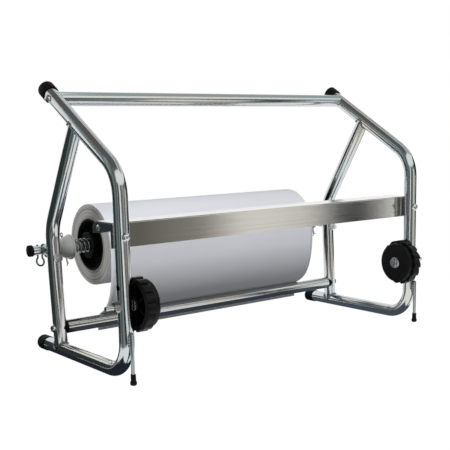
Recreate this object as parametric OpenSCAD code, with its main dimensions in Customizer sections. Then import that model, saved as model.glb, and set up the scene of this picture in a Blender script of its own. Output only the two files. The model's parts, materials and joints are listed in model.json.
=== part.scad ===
// Masking paper dispenser: a tubular bench stand that carries one wide paper roll on a
// sprung spindle, a tear-off bar with a paper flap, and two small hubs for masking tape.
// X runs from the left side frame to the right one, Y from front to rear, Z up.
// The origin is on the bench, below the middle of the stand.

/* [Tubing] */
// Outside diameter of the frame tubes
tube_d = 20; // [18:0.5:22]
// Wall of the frame tubes
tube_wall = 1.5; // [1:0.1:2.5]
// Centre-line radius of the bend between leg and foot
foot_bend_r = 43; // [36:1:50]
// Centre-line radius of the bend at the knee
knee_bend_r = 52; // [36:1:70]
// Centre-line radius of the bend in the rear strut
strut_bend_r = 60; // [40:1:90]

/* [Side frames] */
// Spacing of the two side frames, from leg axis to leg axis
frame_w = 547; // [500:1:640]
// Height of the knee, where the leg turns into the arm
knee_h = 272; // [262:1:300]
// Slope of the upper arm above the horizontal
arm_slope = 30.7; // [28:0.1:33]
// Length of the upper arm from the knee to the end of its cap
arm_len = 221; // [212:1:250]
// Length of the foot from the leg axis to the end of its cap
foot_len = 248; // [236:1:290]
// Distance from the leg axis to the rear strut, at the foot
strut_base = 188.6; // [182:0.1:196]
// Rearward lean of the lower part of the strut
strut_lean = 2.6; // [1:0.1:4]
// Height of the bend in the strut
strut_bend_h = 188; // [182:1:200]
// Forward lean of the upper part of the strut
strut_tilt = 31.8; // [29:0.1:34]
// Height of the spare axle hole in the front leg
spare_hole_h = 127; // [122:1:140]

/* [Cross bars] */
// Distance from the end of the arm to the top cross bar
top_bar_inset = 31; // [28:0.5:50]
// Height of the lower cross bar
lower_bar_h = 43; // [40:1:52]
// Width of the collar on the plugs of the lower cross bar
plug_collar_w = 3; // [2:0.5:5]
// Length of the plugs inside the cross bars
plug_len = 18; // [12:1:30]
// Diameter of the bar bolts
bar_bolt_d = 6; // [5:0.5:7]

/* [Caps and feet] */
// Outside diameter of the rubber caps
cap_d = 24; // [23.5:0.1:26]
// Length of the rubber caps
cap_len = 20; // [15:1:26]
// Thickness of the end of the rubber caps
cap_end = 3; // [2:0.5:5]
// Diameter of the support rods in front of the legs
rod_d = 5; // [4:0.5:6]
// Height of the top of the support rods
rod_top_h = 70; // [66:1:80]
// Diameter of the rubber tips
tip_d = 9; // [8:0.5:11]
// Length of the rubber tips
tip_len = 15; // [12:1:20]

/* [Tear-off bar] */
// Height of the middle of the tear-off bar
cutter_h = 192; // [186:1:200]
// Height of the face of the tear-off bar
cutter_face = 31; // [28:1:36]
// Sheet thickness of the tear-off bar
cutter_t = 1.5; // [1:0.1:2]
// Depth of the folded lower edge of the bar
cutter_fold = 8; // [5:0.5:12]
// How far the bar runs past each leg axis
cutter_over = 7.5; // [7:0.5:9]
// Diameter of the bolts that hold the bar
cutter_bolt_d = 6; // [5:0.5:7]

/* [Paper flap] */
// Sheet thickness of the flap
flap_t = 1.2; // [0.8:0.1:1.6]
// Distance from the leg axis to the hinge of the flap
hinge_y = 45; // [42:0.5:55]
// Depth of the hinge below the top of the tear-off bar
hinge_drop = 6.7; // [6:0.1:8]
// Distance from the leg axis to the rear edge of the flap
flap_rear = 52; // [50:0.5:60]
// Length of the lifting tail behind the hinge
tail_len = 19; // [15:0.5:24]
// Sheet thickness of the hinge brackets
bracket_t = 2; // [1.5:0.1:2.5]
// Diameter of the hinge rivets
rivet_d = 4; // [3:0.5:5]

/* [Spindle] */
// Outside diameter of the spindle tube
spindle_d = 14; // [13:0.5:15]
// Wall of the spindle tube
spindle_wall = 2; // [1.5:0.1:3]
// Height of the spindle axis
spindle_h = 156.5; // [150:0.5:164]
// How far the spindle plugs stand out past the leg axis
spindle_over = 31.2; // [30:0.1:40]
// Outside diameter of the spindle plugs
end_plug_d = 16.4; // [16:0.1:18]
// Length of the spindle plugs
end_plug_len = 9; // [7:0.5:12]
// Wire diameter of the spring clips
clip_wire = 2.4; // [2:0.1:2.8]
// Outside diameter of the hook bolts
hook_d = 6; // [5:0.5:7]

/* [Roll holders] */
// Distance from the leg axis to the flange of the nylon bell
bell_inset = 35.5; // [34:0.5:40]
// Diameter of the flange of the nylon bell
bell_d = 37.5; // [35:0.5:42]
// Length of the nylon bell
bell_len = 20; // [18:0.5:22]
// Mean diameter of the coil springs
coil_d = 19.5; // [18.5:0.5:21]
// Wire diameter of the coil springs
coil_wire = 2.6; // [2:0.1:3]
// Turns of each coil spring
coil_turns = 4; // [3:0.5:5]
// Diameter of the boss on the core cone
cone_boss_d = 39; // [36:0.5:46]
// Distance from the end of the roll to the face of the boss
cone_boss_out = 5; // [4:0.5:7]
// Depth of the core cone inside the roll
cone_depth = 20; // [15:1:30]

/* [Paper] */
// Width of the paper roll
roll_w = 400; // [350:1:405]
// Where the middle of the roll sits along the spindle
roll_x = -5; // [-8:1:8]
// Outside diameter of the paper roll
roll_d = 122; // [100:1:150]
// Inside diameter of the cardboard core
core_id = 76.5; // [75:0.5:78]
// Wall of the cardboard core
core_wall = 3.5; // [2:0.5:6]
// Height of the free end of the paper above the bench
web_end_h = 26; // [18:1:30]
// Thickness of the hanging sheet
web_t = 0.5; // [0.4:0.1:0.8]

/* [Tape hubs] */
// Height of the hub axis
hub_h = 102.5; // [100:0.5:108]
// Diameter of the drum that takes the tape core
drum_d = 72; // [70:0.5:76]
// Width of the drum
drum_w = 14; // [10:0.5:16]
// Diameter of the plain front disc
disc_d = 63.5; // [60:0.5:66]
// Width of the front disc
disc_w = 8; // [6:0.5:10]
// Number of grip notches round the drum
notches = 18; // [12:1:20]
// Diameter of the hub bolt
hub_bolt_d = 8; // [6:0.5:10]
// How far the hub bolt stands out past the leg axis
hub_bolt_over = 31.5; // [28:0.5:36]

/* [Hidden] */
$fn = 64;

// Fits: fixed pieces that meet, pieces that move past each other, a bolt in its hole, a turning fit
joint_gap = 0.1;
move_gap = 0.3;
bolt_gap = 0.2;
turn_gap = 0.05;

// A bend loses this much diameter, and the straight lengths lap this far into it
bend_draw = 0.04;
bend_lap = 0.05;

// Finishes
zinc = [0.72, 0.74, 0.76];
stainless = [0.66, 0.65, 0.62];
rubber = [0.05, 0.05, 0.055];
dark_steel = [0.2, 0.22, 0.23];
nylon = [0.72, 0.73, 0.71];
paper = [0.9, 0.9, 0.93];
card = [0.55, 0.5, 0.44];
hub_black = [0.06, 0.06, 0.065];

// Side frame in its own plane, as points [y, z] measured from the front leg axis
tube_r = tube_d / 2;
foot_h = cap_d / 2;
half_w = frame_w / 2;
arm_dir = [cos(arm_slope), sin(arm_slope)];
knee = [0, knee_h];
foot_corner = [0, foot_h];
arm_end = knee + (arm_len - cap_end) * arm_dir;
foot_end = [foot_len - cap_end, foot_h];
lean = tan(strut_lean);
function strut_y(z) = strut_base + lean * (z - foot_h);
strut_foot = [strut_base, foot_h];
strut_bend = [strut_y(strut_bend_h), strut_bend_h];
strut_dir = [-sin(strut_tilt), cos(strut_tilt)];
function cross2(a, b) = a[0] * b[1] - a[1] * b[0];
strut_top = strut_bend + strut_dir * cross2(knee - strut_bend, arm_dir) / cross2(strut_dir, arm_dir);
top_bar = knee + (arm_len - top_bar_inset) * arm_dir;
lower_bar = [strut_y(lower_bar_h), lower_bar_h];

// Spindle, roll and the hook bolts below them
spindle_r = spindle_d / 2;
spindle_y = strut_y(spindle_h) + tube_r / cos(strut_lean) + move_gap + spindle_r;
hook_h = spindle_h - spindle_r - move_gap - hook_d / 2;
hook_reach = spindle_y + spindle_r + move_gap + hook_d / 2;
roll_r = roll_d / 2;
bell_face = half_w - bell_inset;
// Distance of an end of the roll from the middle of the stand, for side -1 or 1
function roll_end(side) = roll_w / 2 + side * roll_x;
function boss_face(side) = roll_end(side) + cone_boss_out;
spring_seat = 5;
pin_x = bell_face + bell_len / 2;
pin_wire = 1.6;
pin_turn = 20;
clip_x = half_w + tube_r + 7;
clip_turn = 30;
clip_eye_r = 6.3;

// Tear-off bar, flap and brackets, as distances behind the front leg axis
cutter_y = tube_r + joint_gap;
cutter_top = cutter_h + cutter_face / 2;
bracket_y = cutter_y + cutter_t + joint_gap;
nut_y = bracket_y + bracket_t + joint_gap;
bracket_x = half_w + cutter_over + 1;
ear_x = bracket_x - bracket_t - move_gap;
hinge_z = cutter_top - hinge_drop;
flap_z = cutter_top + move_gap;
flap_front = tube_r + 0.5;

// Tape hub
hub_w = drum_w + disc_w;
hub_gap = 2.5;
hub_face = half_w - tube_r - hub_gap - hub_w;
washer_w = hub_gap - move_gap - joint_gap;
nut_w = 0.8 * hub_bolt_d;

// The stand is centred on the bench between the front of the hubs and the rear of the roll
leg_y = -(spindle_y + roll_r - drum_d / 2) / 2;

// Placing helpers

// Moves a shape from the leg axis to its place on the bench
module stand() translate([0, leg_y, 0]) children();

// Turns a shape drawn in [y, z] with its depth along X
module side_plane(x = 0) translate([x, 0, 0]) rotate([90, 0, 90]) children();

// Repeats a left-hand shape on the right
module both_sides() {
    children();
    mirror([1, 0, 0]) children();
}

// Lays a shape drawn along Z down on +X, at a point of the side plane
module along_x(x, p) translate([x, p[0], p[1]]) rotate([0, 90, 0]) children();

// Lays a shape drawn along Z down on +Y, towards the rear
module along_y(x, y, z) translate([x, y, z]) rotate([-90, 0, 0]) children();

// Bent rod and tube in one plane

function unit(v) = v / norm(v);
function polar(r, a) = r * [cos(a), sin(a)];
function heading(v) = atan2(v[1], v[0]);
function turn(a, b, c) = let (u = unit(b - a), v = unit(c - b)) atan2(cross2(u, v), u * v);
function bent(p, i) = i > 0 && i < len(p) - 1;
function setback(p, i, r) = bent(p, i) ? r[i] * tan(abs(turn(p[i - 1], p[i], p[i + 1])) / 2) : 0;
// How far a straight length reaches from its corner: it laps into the bend a little
function reach(p, i, r) = bent(p, i) ? setback(p, i, r) - bend_lap : 0;

// Round bar along the points p, with a bend of radius r[i] at each inner point.
// Bending draws the bar in a little, so the bends are slightly thinner than the straights.
module bent_rod(p, r, d) {
    for (i = [0 : len(p) - 2]) {
        u = unit(p[i + 1] - p[i]);
        a = p[i] + u * reach(p, i, r);
        b = p[i + 1] - u * reach(p, i + 1, r);
        translate(a) rotate([0, 0, heading(u)]) rotate([0, 90, 0]) cylinder(d = d, h = norm(b - a));
    }
    if (len(p) > 2) for (i = [1 : len(p) - 2]) {
        u = unit(p[i] - p[i - 1]);
        bend = turn(p[i - 1], p[i], p[i + 1]);
        side = sign(bend);
        start = p[i] - u * setback(p, i, r);
        centre = start + side * r[i] * [-u[1], u[0]];
        first = heading(start - centre) + min(bend, 0);
        translate(centre) rotate([0, 0, first]) rotate_extrude(angle = abs(bend))
            translate([r[i], 0]) circle(d = d - bend_draw);
    }
}

module bent_tube(p, r, d, wall) difference() {
    bent_rod(p, r, d);
    bent_rod(p, r, d - 2 * wall);
}

// Fasteners, drawn along +Z with the bearing face of the head at Z = 0

module dome_bolt(d, shank, head_d, head_h) {
    cylinder(d = d, h = shank);
    dome_r = (head_d * head_d / 4 + head_h * head_h) / (2 * head_h);
    rotate_extrude() intersection() {
        translate([0, dome_r - head_h]) circle(r = dome_r);
        translate([0, -head_h]) square([head_d / 2, head_h]);
    }
}

module hex_block(across, h) cylinder(d = across / cos(30), h = h, $fn = 6);

module hex_nut(d, h) difference() {
    intersection() {
        hex_block(1.65 * d, h);
        rotate_extrude() polygon([[0, 0], [0.86 * d, 0], [0.96 * d, 0.1 * d],
            [0.96 * d, h - 0.1 * d], [0.86 * d, h], [0, h]]);
    }
    translate([0, 0, -1]) cylinder(d = d + 2 * turn_gap, h = h + 2);
}

module washer(d, hole, h) difference() {
    cylinder(d = d, h = h);
    translate([0, 0, -1]) cylinder(d = hole, h = h + 2);
}

// Side frames

side_path = [arm_end, knee, foot_corner, foot_end];
side_bends = [0, knee_bend_r, foot_bend_r, 0];
strut_path = [strut_foot, strut_bend, strut_top];
strut_bends = [0, strut_bend_r, 0];

module cross_hole(p, d) along_x(-half_w - tube_d, p) cylinder(d = d, h = 2 * tube_d);

module side_tube() color(zinc) stand() difference() {
    side_plane(-half_w) bent_tube(side_path, side_bends, tube_d, tube_wall);
    cross_hole(top_bar, bar_bolt_d + 2 * bolt_gap);
    cross_hole([0, hub_h], hub_bolt_d + 2 * bolt_gap);
    cross_hole([0, spare_hole_h], hub_bolt_d + 2 * bolt_gap);
    along_y(-half_w, -tube_d, cutter_h) cylinder(d = cutter_bolt_d + 2 * bolt_gap, h = 2 * tube_d);
}

module left_side_tube() side_tube();
module right_side_tube() mirror([1, 0, 0]) side_tube();

// The strut is coped to the arm above and to the foot below
module rear_strut() color(zinc) stand() difference() {
    side_plane(-half_w) bent_tube(strut_path, strut_bends, tube_d, tube_wall);
    side_plane(-half_w) bent_rod([knee, arm_end], [0, 0], tube_d + 2 * joint_gap);
    side_plane(-half_w) bent_rod([foot_corner, foot_end], [0, 0], tube_d + 2 * joint_gap);
    cross_hole(lower_bar, bar_bolt_d + 2 * bolt_gap);
    along_y(-half_w, strut_y(hook_h) - tube_d, hook_h) cylinder(d = hook_d + 2 * bolt_gap, h = 2 * tube_d);
}

module left_rear_strut() rear_strut();
module right_rear_strut() mirror([1, 0, 0]) rear_strut();

// Cross bars with their plugs and bolts

// What the tubes of both side frames take away from a piece that meets them
module side_frame_space(p) both_sides() side_plane(-half_w) bent_rod(p, [0, 0], tube_d + 2 * joint_gap);

module top_cross_bar() color(zinc) stand() difference() {
    along_x(-half_w, top_bar) cylinder(d = tube_d, h = frame_w);
    along_x(-half_w, top_bar) cylinder(d = tube_d - 2 * tube_wall, h = frame_w);
    side_frame_space([knee, arm_end]);
}

lower_bar_half = half_w - tube_r - plug_collar_w;

module lower_cross_bar() color(zinc) stand() difference() {
    along_x(-lower_bar_half, lower_bar) cylinder(d = tube_d, h = 2 * lower_bar_half);
    along_x(-lower_bar_half - 1, lower_bar)
        cylinder(d = tube_d - 2 * tube_wall, h = 2 * lower_bar_half + 2);
}

plug_d = tube_d - 2 * tube_wall - 2 * joint_gap;

// One plug at the left end of a bar, from the side tube inwards
module bar_plug(p, collar) difference() {
    union() {
        along_x(-half_w, p) cylinder(d = plug_d, h = tube_r + plug_collar_w + plug_len);
        if (collar) along_x(-half_w, p) cylinder(d = tube_d, h = tube_r + plug_collar_w - joint_gap);
    }
    along_x(-half_w - 1, p) cylinder(d = bar_bolt_d + 2 * bolt_gap, h = tube_r + plug_len + 10);
}

module bar_end_plugs() color(rubber) stand() difference() {
    both_sides() {
        bar_plug(top_bar, false);
        bar_plug(lower_bar, true);
    }
    side_frame_space([knee, arm_end]);
    side_frame_space([strut_foot, strut_bend]);
}

module bar_bolts(p) color(zinc) stand() both_sides() {
    along_x(-half_w - tube_r - joint_gap, p)
        dome_bolt(bar_bolt_d, tube_d + plug_collar_w + plug_len - 4, 2 * bar_bolt_d, 0.75 * bar_bolt_d);
}

module top_bar_bolts() bar_bolts(top_bar);
module lower_bar_bolts() bar_bolts(lower_bar);

// Rubber caps, support rods and tips

// Cap drawn along +Z with its closed end at the top
module rubber_cap(ribs) {
    edge = 2.5;
    rib_d = 1.6;
    difference() {
        union() {
            cylinder(d = cap_d, h = cap_len - edge);
            rotate_extrude() {
                square([cap_d / 2 - edge, cap_len]);
                intersection() {
                    translate([cap_d / 2 - edge, cap_len - edge]) circle(r = edge);
                    square([cap_d / 2, cap_len]);
                }
            }
        }
        translate([0, 0, -1]) cylinder(d = tube_d + 2 * joint_gap, h = cap_len - cap_end + 1 + joint_gap);
        for (i = [0 : ribs - 1])
            translate([0, 0, 3 + i * 4]) rotate_extrude()
                translate([cap_d / 2, 0]) circle(d = rib_d, $fn = 24);
    }
}

module top_cap() color(rubber) stand() side_plane(-half_w)
    translate(knee + (arm_len - cap_len) * arm_dir)
        rotate([0, 0, arm_slope]) rotate([0, 90, 0]) rubber_cap(0);

module foot_cap() color(rubber) stand() along_y(-half_w, foot_len - cap_len, foot_h) rubber_cap(3);

module left_top_cap() top_cap();
module right_top_cap() mirror([1, 0, 0]) top_cap();
module left_foot_cap() foot_cap();
module right_foot_cap() mirror([1, 0, 0]) foot_cap();

rod_y = -tube_r - rod_d / 2 - joint_gap;
tip_floor = 3;

// The rod stands in front of the leg, and its rounded top is welded to it
module support_rod() color(zinc) stand() translate([-half_w, rod_y, 0]) {
    translate([0, 0, tip_floor]) cylinder(d = rod_d, h = rod_top_h - tip_floor - rod_d / 2);
    translate([0, 0, rod_top_h - rod_d / 2]) sphere(d = rod_d);
}

module rod_tip() color(rubber) stand() translate([-half_w, rod_y, 0]) difference() {
    rotate_extrude() polygon([[0, 0], [tip_d / 2 - 0.6, 0], [tip_d / 2, 1], [tip_d / 2, 4],
        [tip_d / 2 - 0.8, 6], [tip_d / 2 - 0.8, tip_len - 0.6], [tip_d / 2 - 1.4, tip_len], [0, tip_len]]);
    translate([0, 0, tip_floor - joint_gap]) cylinder(d = rod_d + 2 * joint_gap, h = tip_len);
}

module left_support_rod() support_rod();
module right_support_rod() mirror([1, 0, 0]) support_rod();
module left_rod_tip() rod_tip();
module right_rod_tip() mirror([1, 0, 0]) rod_tip();

// Tear-off bar

cutter_half = half_w + cutter_over;

// The face stands behind the legs; its lower edge is folded to the rear between them
module cutter_bar() color(stainless) stand() difference() {
    union() {
        translate([-cutter_half, cutter_y, cutter_h - cutter_face / 2])
            cube([2 * cutter_half, cutter_t, cutter_face]);
        translate([-half_w + tube_d, cutter_y, cutter_h - cutter_face / 2])
            cube([frame_w - 2 * tube_d, cutter_fold, cutter_t]);
    }
    both_sides() along_y(-half_w, 0, cutter_h) cylinder(d = cutter_bolt_d + 2 * bolt_gap, h = tube_d);
}

module cutter_bolts() color(zinc) stand() both_sides()
    along_y(-half_w, -tube_r - joint_gap, cutter_h)
        dome_bolt(cutter_bolt_d, tube_r + nut_y + cutter_bolt_d + 2,
            2 * cutter_bolt_d, 0.7 * cutter_bolt_d);

module cutter_nuts() color(zinc) stand() both_sides()
    along_y(-half_w, nut_y, cutter_h) hex_nut(cutter_bolt_d, 0.8 * cutter_bolt_d);

// Flap brackets: a plate behind the bar and an arm to the rear that holds the rivet

arm_root_h = 9;
arm_tip_r = 7;

module flap_bracket() color(dark_steel) stand() difference() {
    union() {
        translate([-bracket_x, bracket_y, cutter_h - cutter_face / 2])
            cube([bracket_x - half_w + tube_r, bracket_t, cutter_face - joint_gap]);
        side_plane(-bracket_x) linear_extrude(bracket_t) {
            polygon([[bracket_y, cutter_top - arm_root_h], [bracket_y, cutter_top - joint_gap],
                [hinge_y, hinge_z + arm_tip_r], [hinge_y, hinge_z - arm_tip_r]]);
            translate([hinge_y, hinge_z]) circle(r = arm_tip_r);
        }
    }
    along_y(-half_w, 0, cutter_h) cylinder(d = cutter_bolt_d + 2 * bolt_gap, h = tube_d);
    along_x(-bracket_x - 1, [hinge_y, hinge_z]) cylinder(d = rivet_d + 2 * turn_gap, h = bracket_t + 2);
}

module left_flap_bracket() flap_bracket();
module right_flap_bracket() mirror([1, 0, 0]) flap_bracket();

rivet_head_d = 2 * rivet_d;
rivet_head_h = 0.45 * rivet_d;

// A domed head outside the bracket and a flat one inside the ear
module flap_rivets() color(zinc) stand() both_sides() along_x(-bracket_x - turn_gap, [hinge_y, hinge_z]) {
    dome_bolt(rivet_d, bracket_t + move_gap + flap_t + move_gap, rivet_head_d, rivet_head_h);
    translate([0, 0, bracket_t + 2 * move_gap + flap_t]) cylinder(d = rivet_head_d, h = rivet_head_h);
}

// Paper flap: a flat strip that rests over the bar, with an ear at each end

module flap_ear() side_plane(-ear_x) linear_extrude(flap_t) difference() {
    polygon([[nut_y + 0.5, flap_z + flap_t], [nut_y + 0.5, flap_z - 5], [hinge_y - 6, hinge_z - 6.5],
        [hinge_y + tail_len, hinge_z - 8], [hinge_y + tail_len, hinge_z + 1.5],
        [flap_rear, flap_z + flap_t]]);
    translate([hinge_y, hinge_z]) circle(d = rivet_d + 2 * turn_gap);
}

module paper_flap() color(stainless) stand() {
    translate([-ear_x, flap_front, flap_z]) cube([2 * ear_x, flap_rear - flap_front, flap_t]);
    both_sides() flap_ear();
}

// Hook bolts: a shank through the strut, below the spindle, turned up behind it

hook_front = strut_y(hook_h) - tube_r - 11;
hook_bend_r = hook_d;
washer_t = 1.6;

module hook_bolt() color(zinc) stand() side_plane(-half_w)
    bent_rod([[hook_front, hook_h], [hook_reach, hook_h], [hook_reach, spindle_h + spindle_r]],
        [0, hook_bend_r, 0], hook_d);

module left_hook_bolt() hook_bolt();
module right_hook_bolt() mirror([1, 0, 0]) hook_bolt();

hook_washer_d = 2.2 * hook_d;
// The strut leans to the rear, so the washer meets it at its lower edge
strut_front = strut_y(hook_h - hook_washer_d / 2) - tube_r / cos(strut_lean);

module hook_washers() color(zinc) stand() both_sides()
    along_y(-half_w, strut_front - washer_t - joint_gap, hook_h)
        washer(hook_washer_d, hook_d + 2 * bolt_gap, washer_t);

module hook_nuts() color(zinc) stand() both_sides()
    along_y(-half_w, strut_front - washer_t - 2 * joint_gap - 0.8 * hook_d, hook_h)
        hex_nut(hook_d, 0.8 * hook_d);

// Tape hubs on their bolts

hub_head_h = 0.65 * hub_bolt_d;
hub_flange_h = 0.15 * hub_bolt_d;

module hub_bolt() color(zinc) stand() {
    shank_from = hub_face - move_gap;
    along_x(-half_w - hub_bolt_over, [0, hub_h])
        cylinder(d = hub_bolt_d, h = half_w + hub_bolt_over - shank_from);
    along_x(-shank_from, [0, hub_h]) {
        cylinder(d = 2.2 * hub_bolt_d, h = hub_flange_h);
        intersection() {
            hex_block(1.65 * hub_bolt_d, hub_head_h);
            cylinder(d1 = 2 * hub_bolt_d, d2 = 1.6 * hub_bolt_d, h = hub_head_h);
        }
    }
}

module left_hub_bolt() hub_bolt();
module right_hub_bolt() mirror([1, 0, 0]) hub_bolt();

module hub_nuts() color(zinc) stand() both_sides()
    along_x(-half_w - tube_r - joint_gap - nut_w, [0, hub_h]) hex_nut(hub_bolt_d, nut_w);

module hub_washers() color(zinc) stand() both_sides()
    along_x(-half_w + tube_r + joint_gap, [0, hub_h])
        washer(2.2 * hub_bolt_d, hub_bolt_d + 2 * bolt_gap, washer_w);

notch_depth = 2.2;
hub_rim = 3.5;
hub_boss_d = 20;
hub_web_t = 4;
hub_ribs = 6;
hub_edge = 1.5;

// Drum outline with stepped grip notches: each drops square and ramps up over half its share
module drum_outline() difference() {
    ramp = 180 / notches;
    circle(d = drum_d);
    for (i = [0 : notches - 1]) rotate(2 * ramp * i)
        polygon([polar(drum_d / 2 - notch_depth, 0), polar(drum_d / 2 + 1, 0), polar(drum_d / 2 + 1, ramp),
            polar(drum_d / 2, ramp)]);
}

// Hub drawn along +Z, from its open back at the leg to its front disc
module tape_hub() color(hub_black) stand() along_x(-hub_face - hub_w, [0, hub_h]) difference() {
    union() {
        linear_extrude(drum_w) drum_outline();
        rotate_extrude() polygon([[0, 0], [disc_d / 2 - 1, 0], [disc_d / 2, drum_w],
            [disc_d / 2, hub_w - hub_edge], [disc_d / 2 - hub_edge, hub_w], [0, hub_w]]);
    }
    difference() {
        translate([0, 0, -1]) cylinder(d = disc_d - 2 * hub_rim, h = hub_w - hub_web_t + 1);
        translate([0, 0, -1]) cylinder(d = hub_boss_d, h = hub_w);
        for (i = [0 : hub_ribs - 1]) rotate([0, 0, 360 / hub_ribs * i])
            translate([0, -1, 3]) cube([disc_d / 2 - 1, 2, hub_w]);
    }
    translate([0, 0, -1]) cylinder(d = hub_bolt_d + 2 * turn_gap, h = hub_w + 2);
}

module left_tape_hub() tape_hub();
module right_tape_hub() mirror([1, 0, 0]) tape_hub();

// Spindle

spindle_half = half_w + spindle_over;
spindle_axis = [spindle_y, spindle_h];
tube_half = spindle_half - 2;

module pin_hole(x, d, lean) translate([x, spindle_y, spindle_h]) rotate([-lean, 0, 0])
    translate([0, 0, -bell_d]) cylinder(d = d, h = 2 * bell_d);

module spindle_tube() color(zinc) stand() difference() {
    along_x(-tube_half, spindle_axis) cylinder(d = spindle_d, h = 2 * tube_half);
    along_x(-tube_half - 1, spindle_axis)
        cylinder(d = spindle_d - 2 * spindle_wall, h = 2 * tube_half + 2);
    both_sides() {
        pin_hole(-clip_x, clip_wire + 2 * joint_gap, 0);
        pin_hole(-pin_x, 2 * pin_wire + 4 * joint_gap, pin_turn);
    }
}

// Plugs close the tube ends like caps, with a stub inside the bore
module spindle_plugs() color(rubber) stand() both_sides() difference() {
    union() {
        along_x(-spindle_half, spindle_axis) cylinder(d1 = end_plug_d - 2, d2 = end_plug_d, h = 1);
        along_x(-spindle_half + 1, spindle_axis) cylinder(d = end_plug_d, h = end_plug_len - 1);
    }
    difference() {
        along_x(-tube_half - joint_gap, spindle_axis)
            cylinder(d = spindle_d + 2 * joint_gap, h = end_plug_len);
        along_x(-spindle_half, spindle_axis)
            cylinder(d = spindle_d - 2 * spindle_wall - 2 * joint_gap, h = end_plug_len - 1);
    }
}

// Wire swept as one tube along 3-D points, with a side vector for each ring

sides = 6;

function run_dir(p, i) = unit(p[min(i + 1, len(p) - 1)] - p[max(i - 1, 0)]);

module wire(p, out, d) {
    n = len(p);
    points = [for (i = [0 : n - 1]) let (across = cross(run_dir(p, i), out[i])) for (j = [0 : sides - 1])
        p[i] + d / 2 * (cos(360 * j / sides) * out[i] + sin(360 * j / sides) * across)];
    faces = concat(
        [for (j = [1 : sides - 2]) [0, j, j + 1]],
        [for (i = [0 : n - 2], j = [0 : sides - 1]) let (k = (j + 1) % sides)
            [i * sides + j, (i + 1) * sides + j, (i + 1) * sides + k]],
        [for (i = [0 : n - 2], j = [0 : sides - 1]) let (k = (j + 1) % sides)
            [i * sides + j, (i + 1) * sides + k, i * sides + k]],
        [for (j = [1 : sides - 2]) [(n - 1) * sides, (n - 1) * sides + j + 1, (n - 1) * sides + j]]);
    polyhedron(points, faces);
}

// Spring clip: a straight leg through the spindle, a round eye below it and a spring leg that
// hugs the outside of the tube. Points are [across, up] from the spindle axis, in the clip's plane.
clip_grip = (spindle_r + clip_wire / 2 + move_gap) / cos(clip_turn);
clip_waist = clip_grip - 2.5;
clip_eye_z = -spindle_r - 2 * clip_eye_r;
clip_eye_from = acos(clip_waist / 2 / clip_eye_r);
clip_path = concat([[0, spindle_r + 1.5], [0, -spindle_r]],
    [for (i = [0 : 14]) [-clip_waist / 2, clip_eye_z]
        + polar(clip_eye_r, clip_eye_from - (180 + 2 * clip_eye_from) * i / 14)],
    [for (i = [-4 : 4]) [-clip_grip + 2.5 * (1 - cos(90 * i / 4)), spindle_r * i / 4]],
    [[-clip_grip - 1, spindle_r + 2.5]]);

module spring_clip() color(zinc) stand()
    translate([-clip_x, spindle_y, spindle_h]) rotate([0, 0, clip_turn])
        wire([for (q = clip_path) [0, q[0], q[1]]], [for (q = clip_path) [1, 0, 0]], clip_wire);

module left_spring_clip() spring_clip();
module right_spring_clip() mirror([1, 0, 0]) spring_clip();

// Radius of the bell's dome at a distance from its flange face
function bell_dome(x) = sqrt(pow(bell_d / 2 - 1, 2) - x * x);

// Split pin: a round eye on the dome of the bell, two legs down through it and the ends bent apart
module split_pin() {
    gap = pin_wire / 2 + joint_gap;
    top = bell_dome((bell_len - pin_wire) / 2) + pin_wire / 2 + joint_gap;
    low = -bell_d / 2 - 6;
    eye = 2 * pin_wire;
    side_plane() {
        bent_rod([[-gap - 4, low], [-gap, low], [-gap, top]], [0, pin_wire, 0], pin_wire);
        bent_rod([[gap + 3, low - 2], [gap, low - 2], [gap, top]], [0, pin_wire, 0], pin_wire);
        translate([0, top + eye]) rotate_extrude() translate([eye, 0]) circle(d = pin_wire, $fn = 24);
        translate([-gap, top, 0]) rotate([-90, 0, 0]) cylinder(d = pin_wire, h = pin_wire);
        translate([gap, top, 0]) rotate([-90, 0, 0]) cylinder(d = pin_wire, h = pin_wire);
    }
}

module split_pins() color(zinc) stand() both_sides()
    translate([-pin_x, spindle_y, spindle_h]) rotate([-pin_turn, 0, 0]) split_pin();

// Nylon bell: a dome that opens towards the roll into a thin flange
bell_flange_t = 3;
bell_neck_d = 24;

module nylon_bell() color(nylon) stand() difference() {
    along_x(-bell_face - bell_len, spindle_axis) rotate_extrude() difference() {
        union() {
            square([bell_neck_d / 2, bell_len]);
            intersection() {
                translate([0, bell_len]) circle(r = bell_d / 2 - 1);
                square([bell_d, bell_len]);
            }
            translate([0, bell_len - bell_flange_t]) square([bell_d / 2, bell_flange_t]);
        }
        square([2 * (spindle_r + joint_gap), 3 * bell_len], center = true);
    }
    pin_hole(-pin_x, 2 * pin_wire + 4 * joint_gap, pin_turn);
}

module left_nylon_bell() nylon_bell();
module right_nylon_bell() mirror([1, 0, 0]) nylon_bell();

// Coil spring between the bell and the core cone, swept as one wire along X

spring_from = bell_face - move_gap;
function spring_to(side) = boss_face(side) - spring_seat + move_gap;
rings = 8;
coil_steps = ceil(coil_turns * rings);
coil_r = coil_d / 2;

// Points along the wire as [x, angle]: straight out, round the turns, straight out
function coil_path(side) = let (start = spring_to(side), run = spring_from - start - 2 * coil_wire)
    concat([[start, 0]],
        [for (i = [0 : coil_steps])
            [start + coil_wire + run * i / coil_steps, 360 * coil_turns * i / coil_steps]],
        [[spring_from, 360 * coil_turns]]);
function coil_point(k) = [k[0], coil_r * cos(k[1]), coil_r * sin(k[1])];

module coil_spring(side) wire([for (k = coil_path(side)) coil_point(k)],
    [for (k = coil_path(side)) [0, cos(k[1]), sin(k[1])]], coil_wire);

function coil_gap(p) = min([for (i = [0 : len(p) - 1], j = [0 : len(p) - 1])
    if (j - i > rings / 2) norm(coil_point(p[i]) - coil_point(p[j])) - coil_wire]);
echo(coil_gap = min(coil_gap(coil_path(-1)), coil_gap(coil_path(1))));

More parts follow.
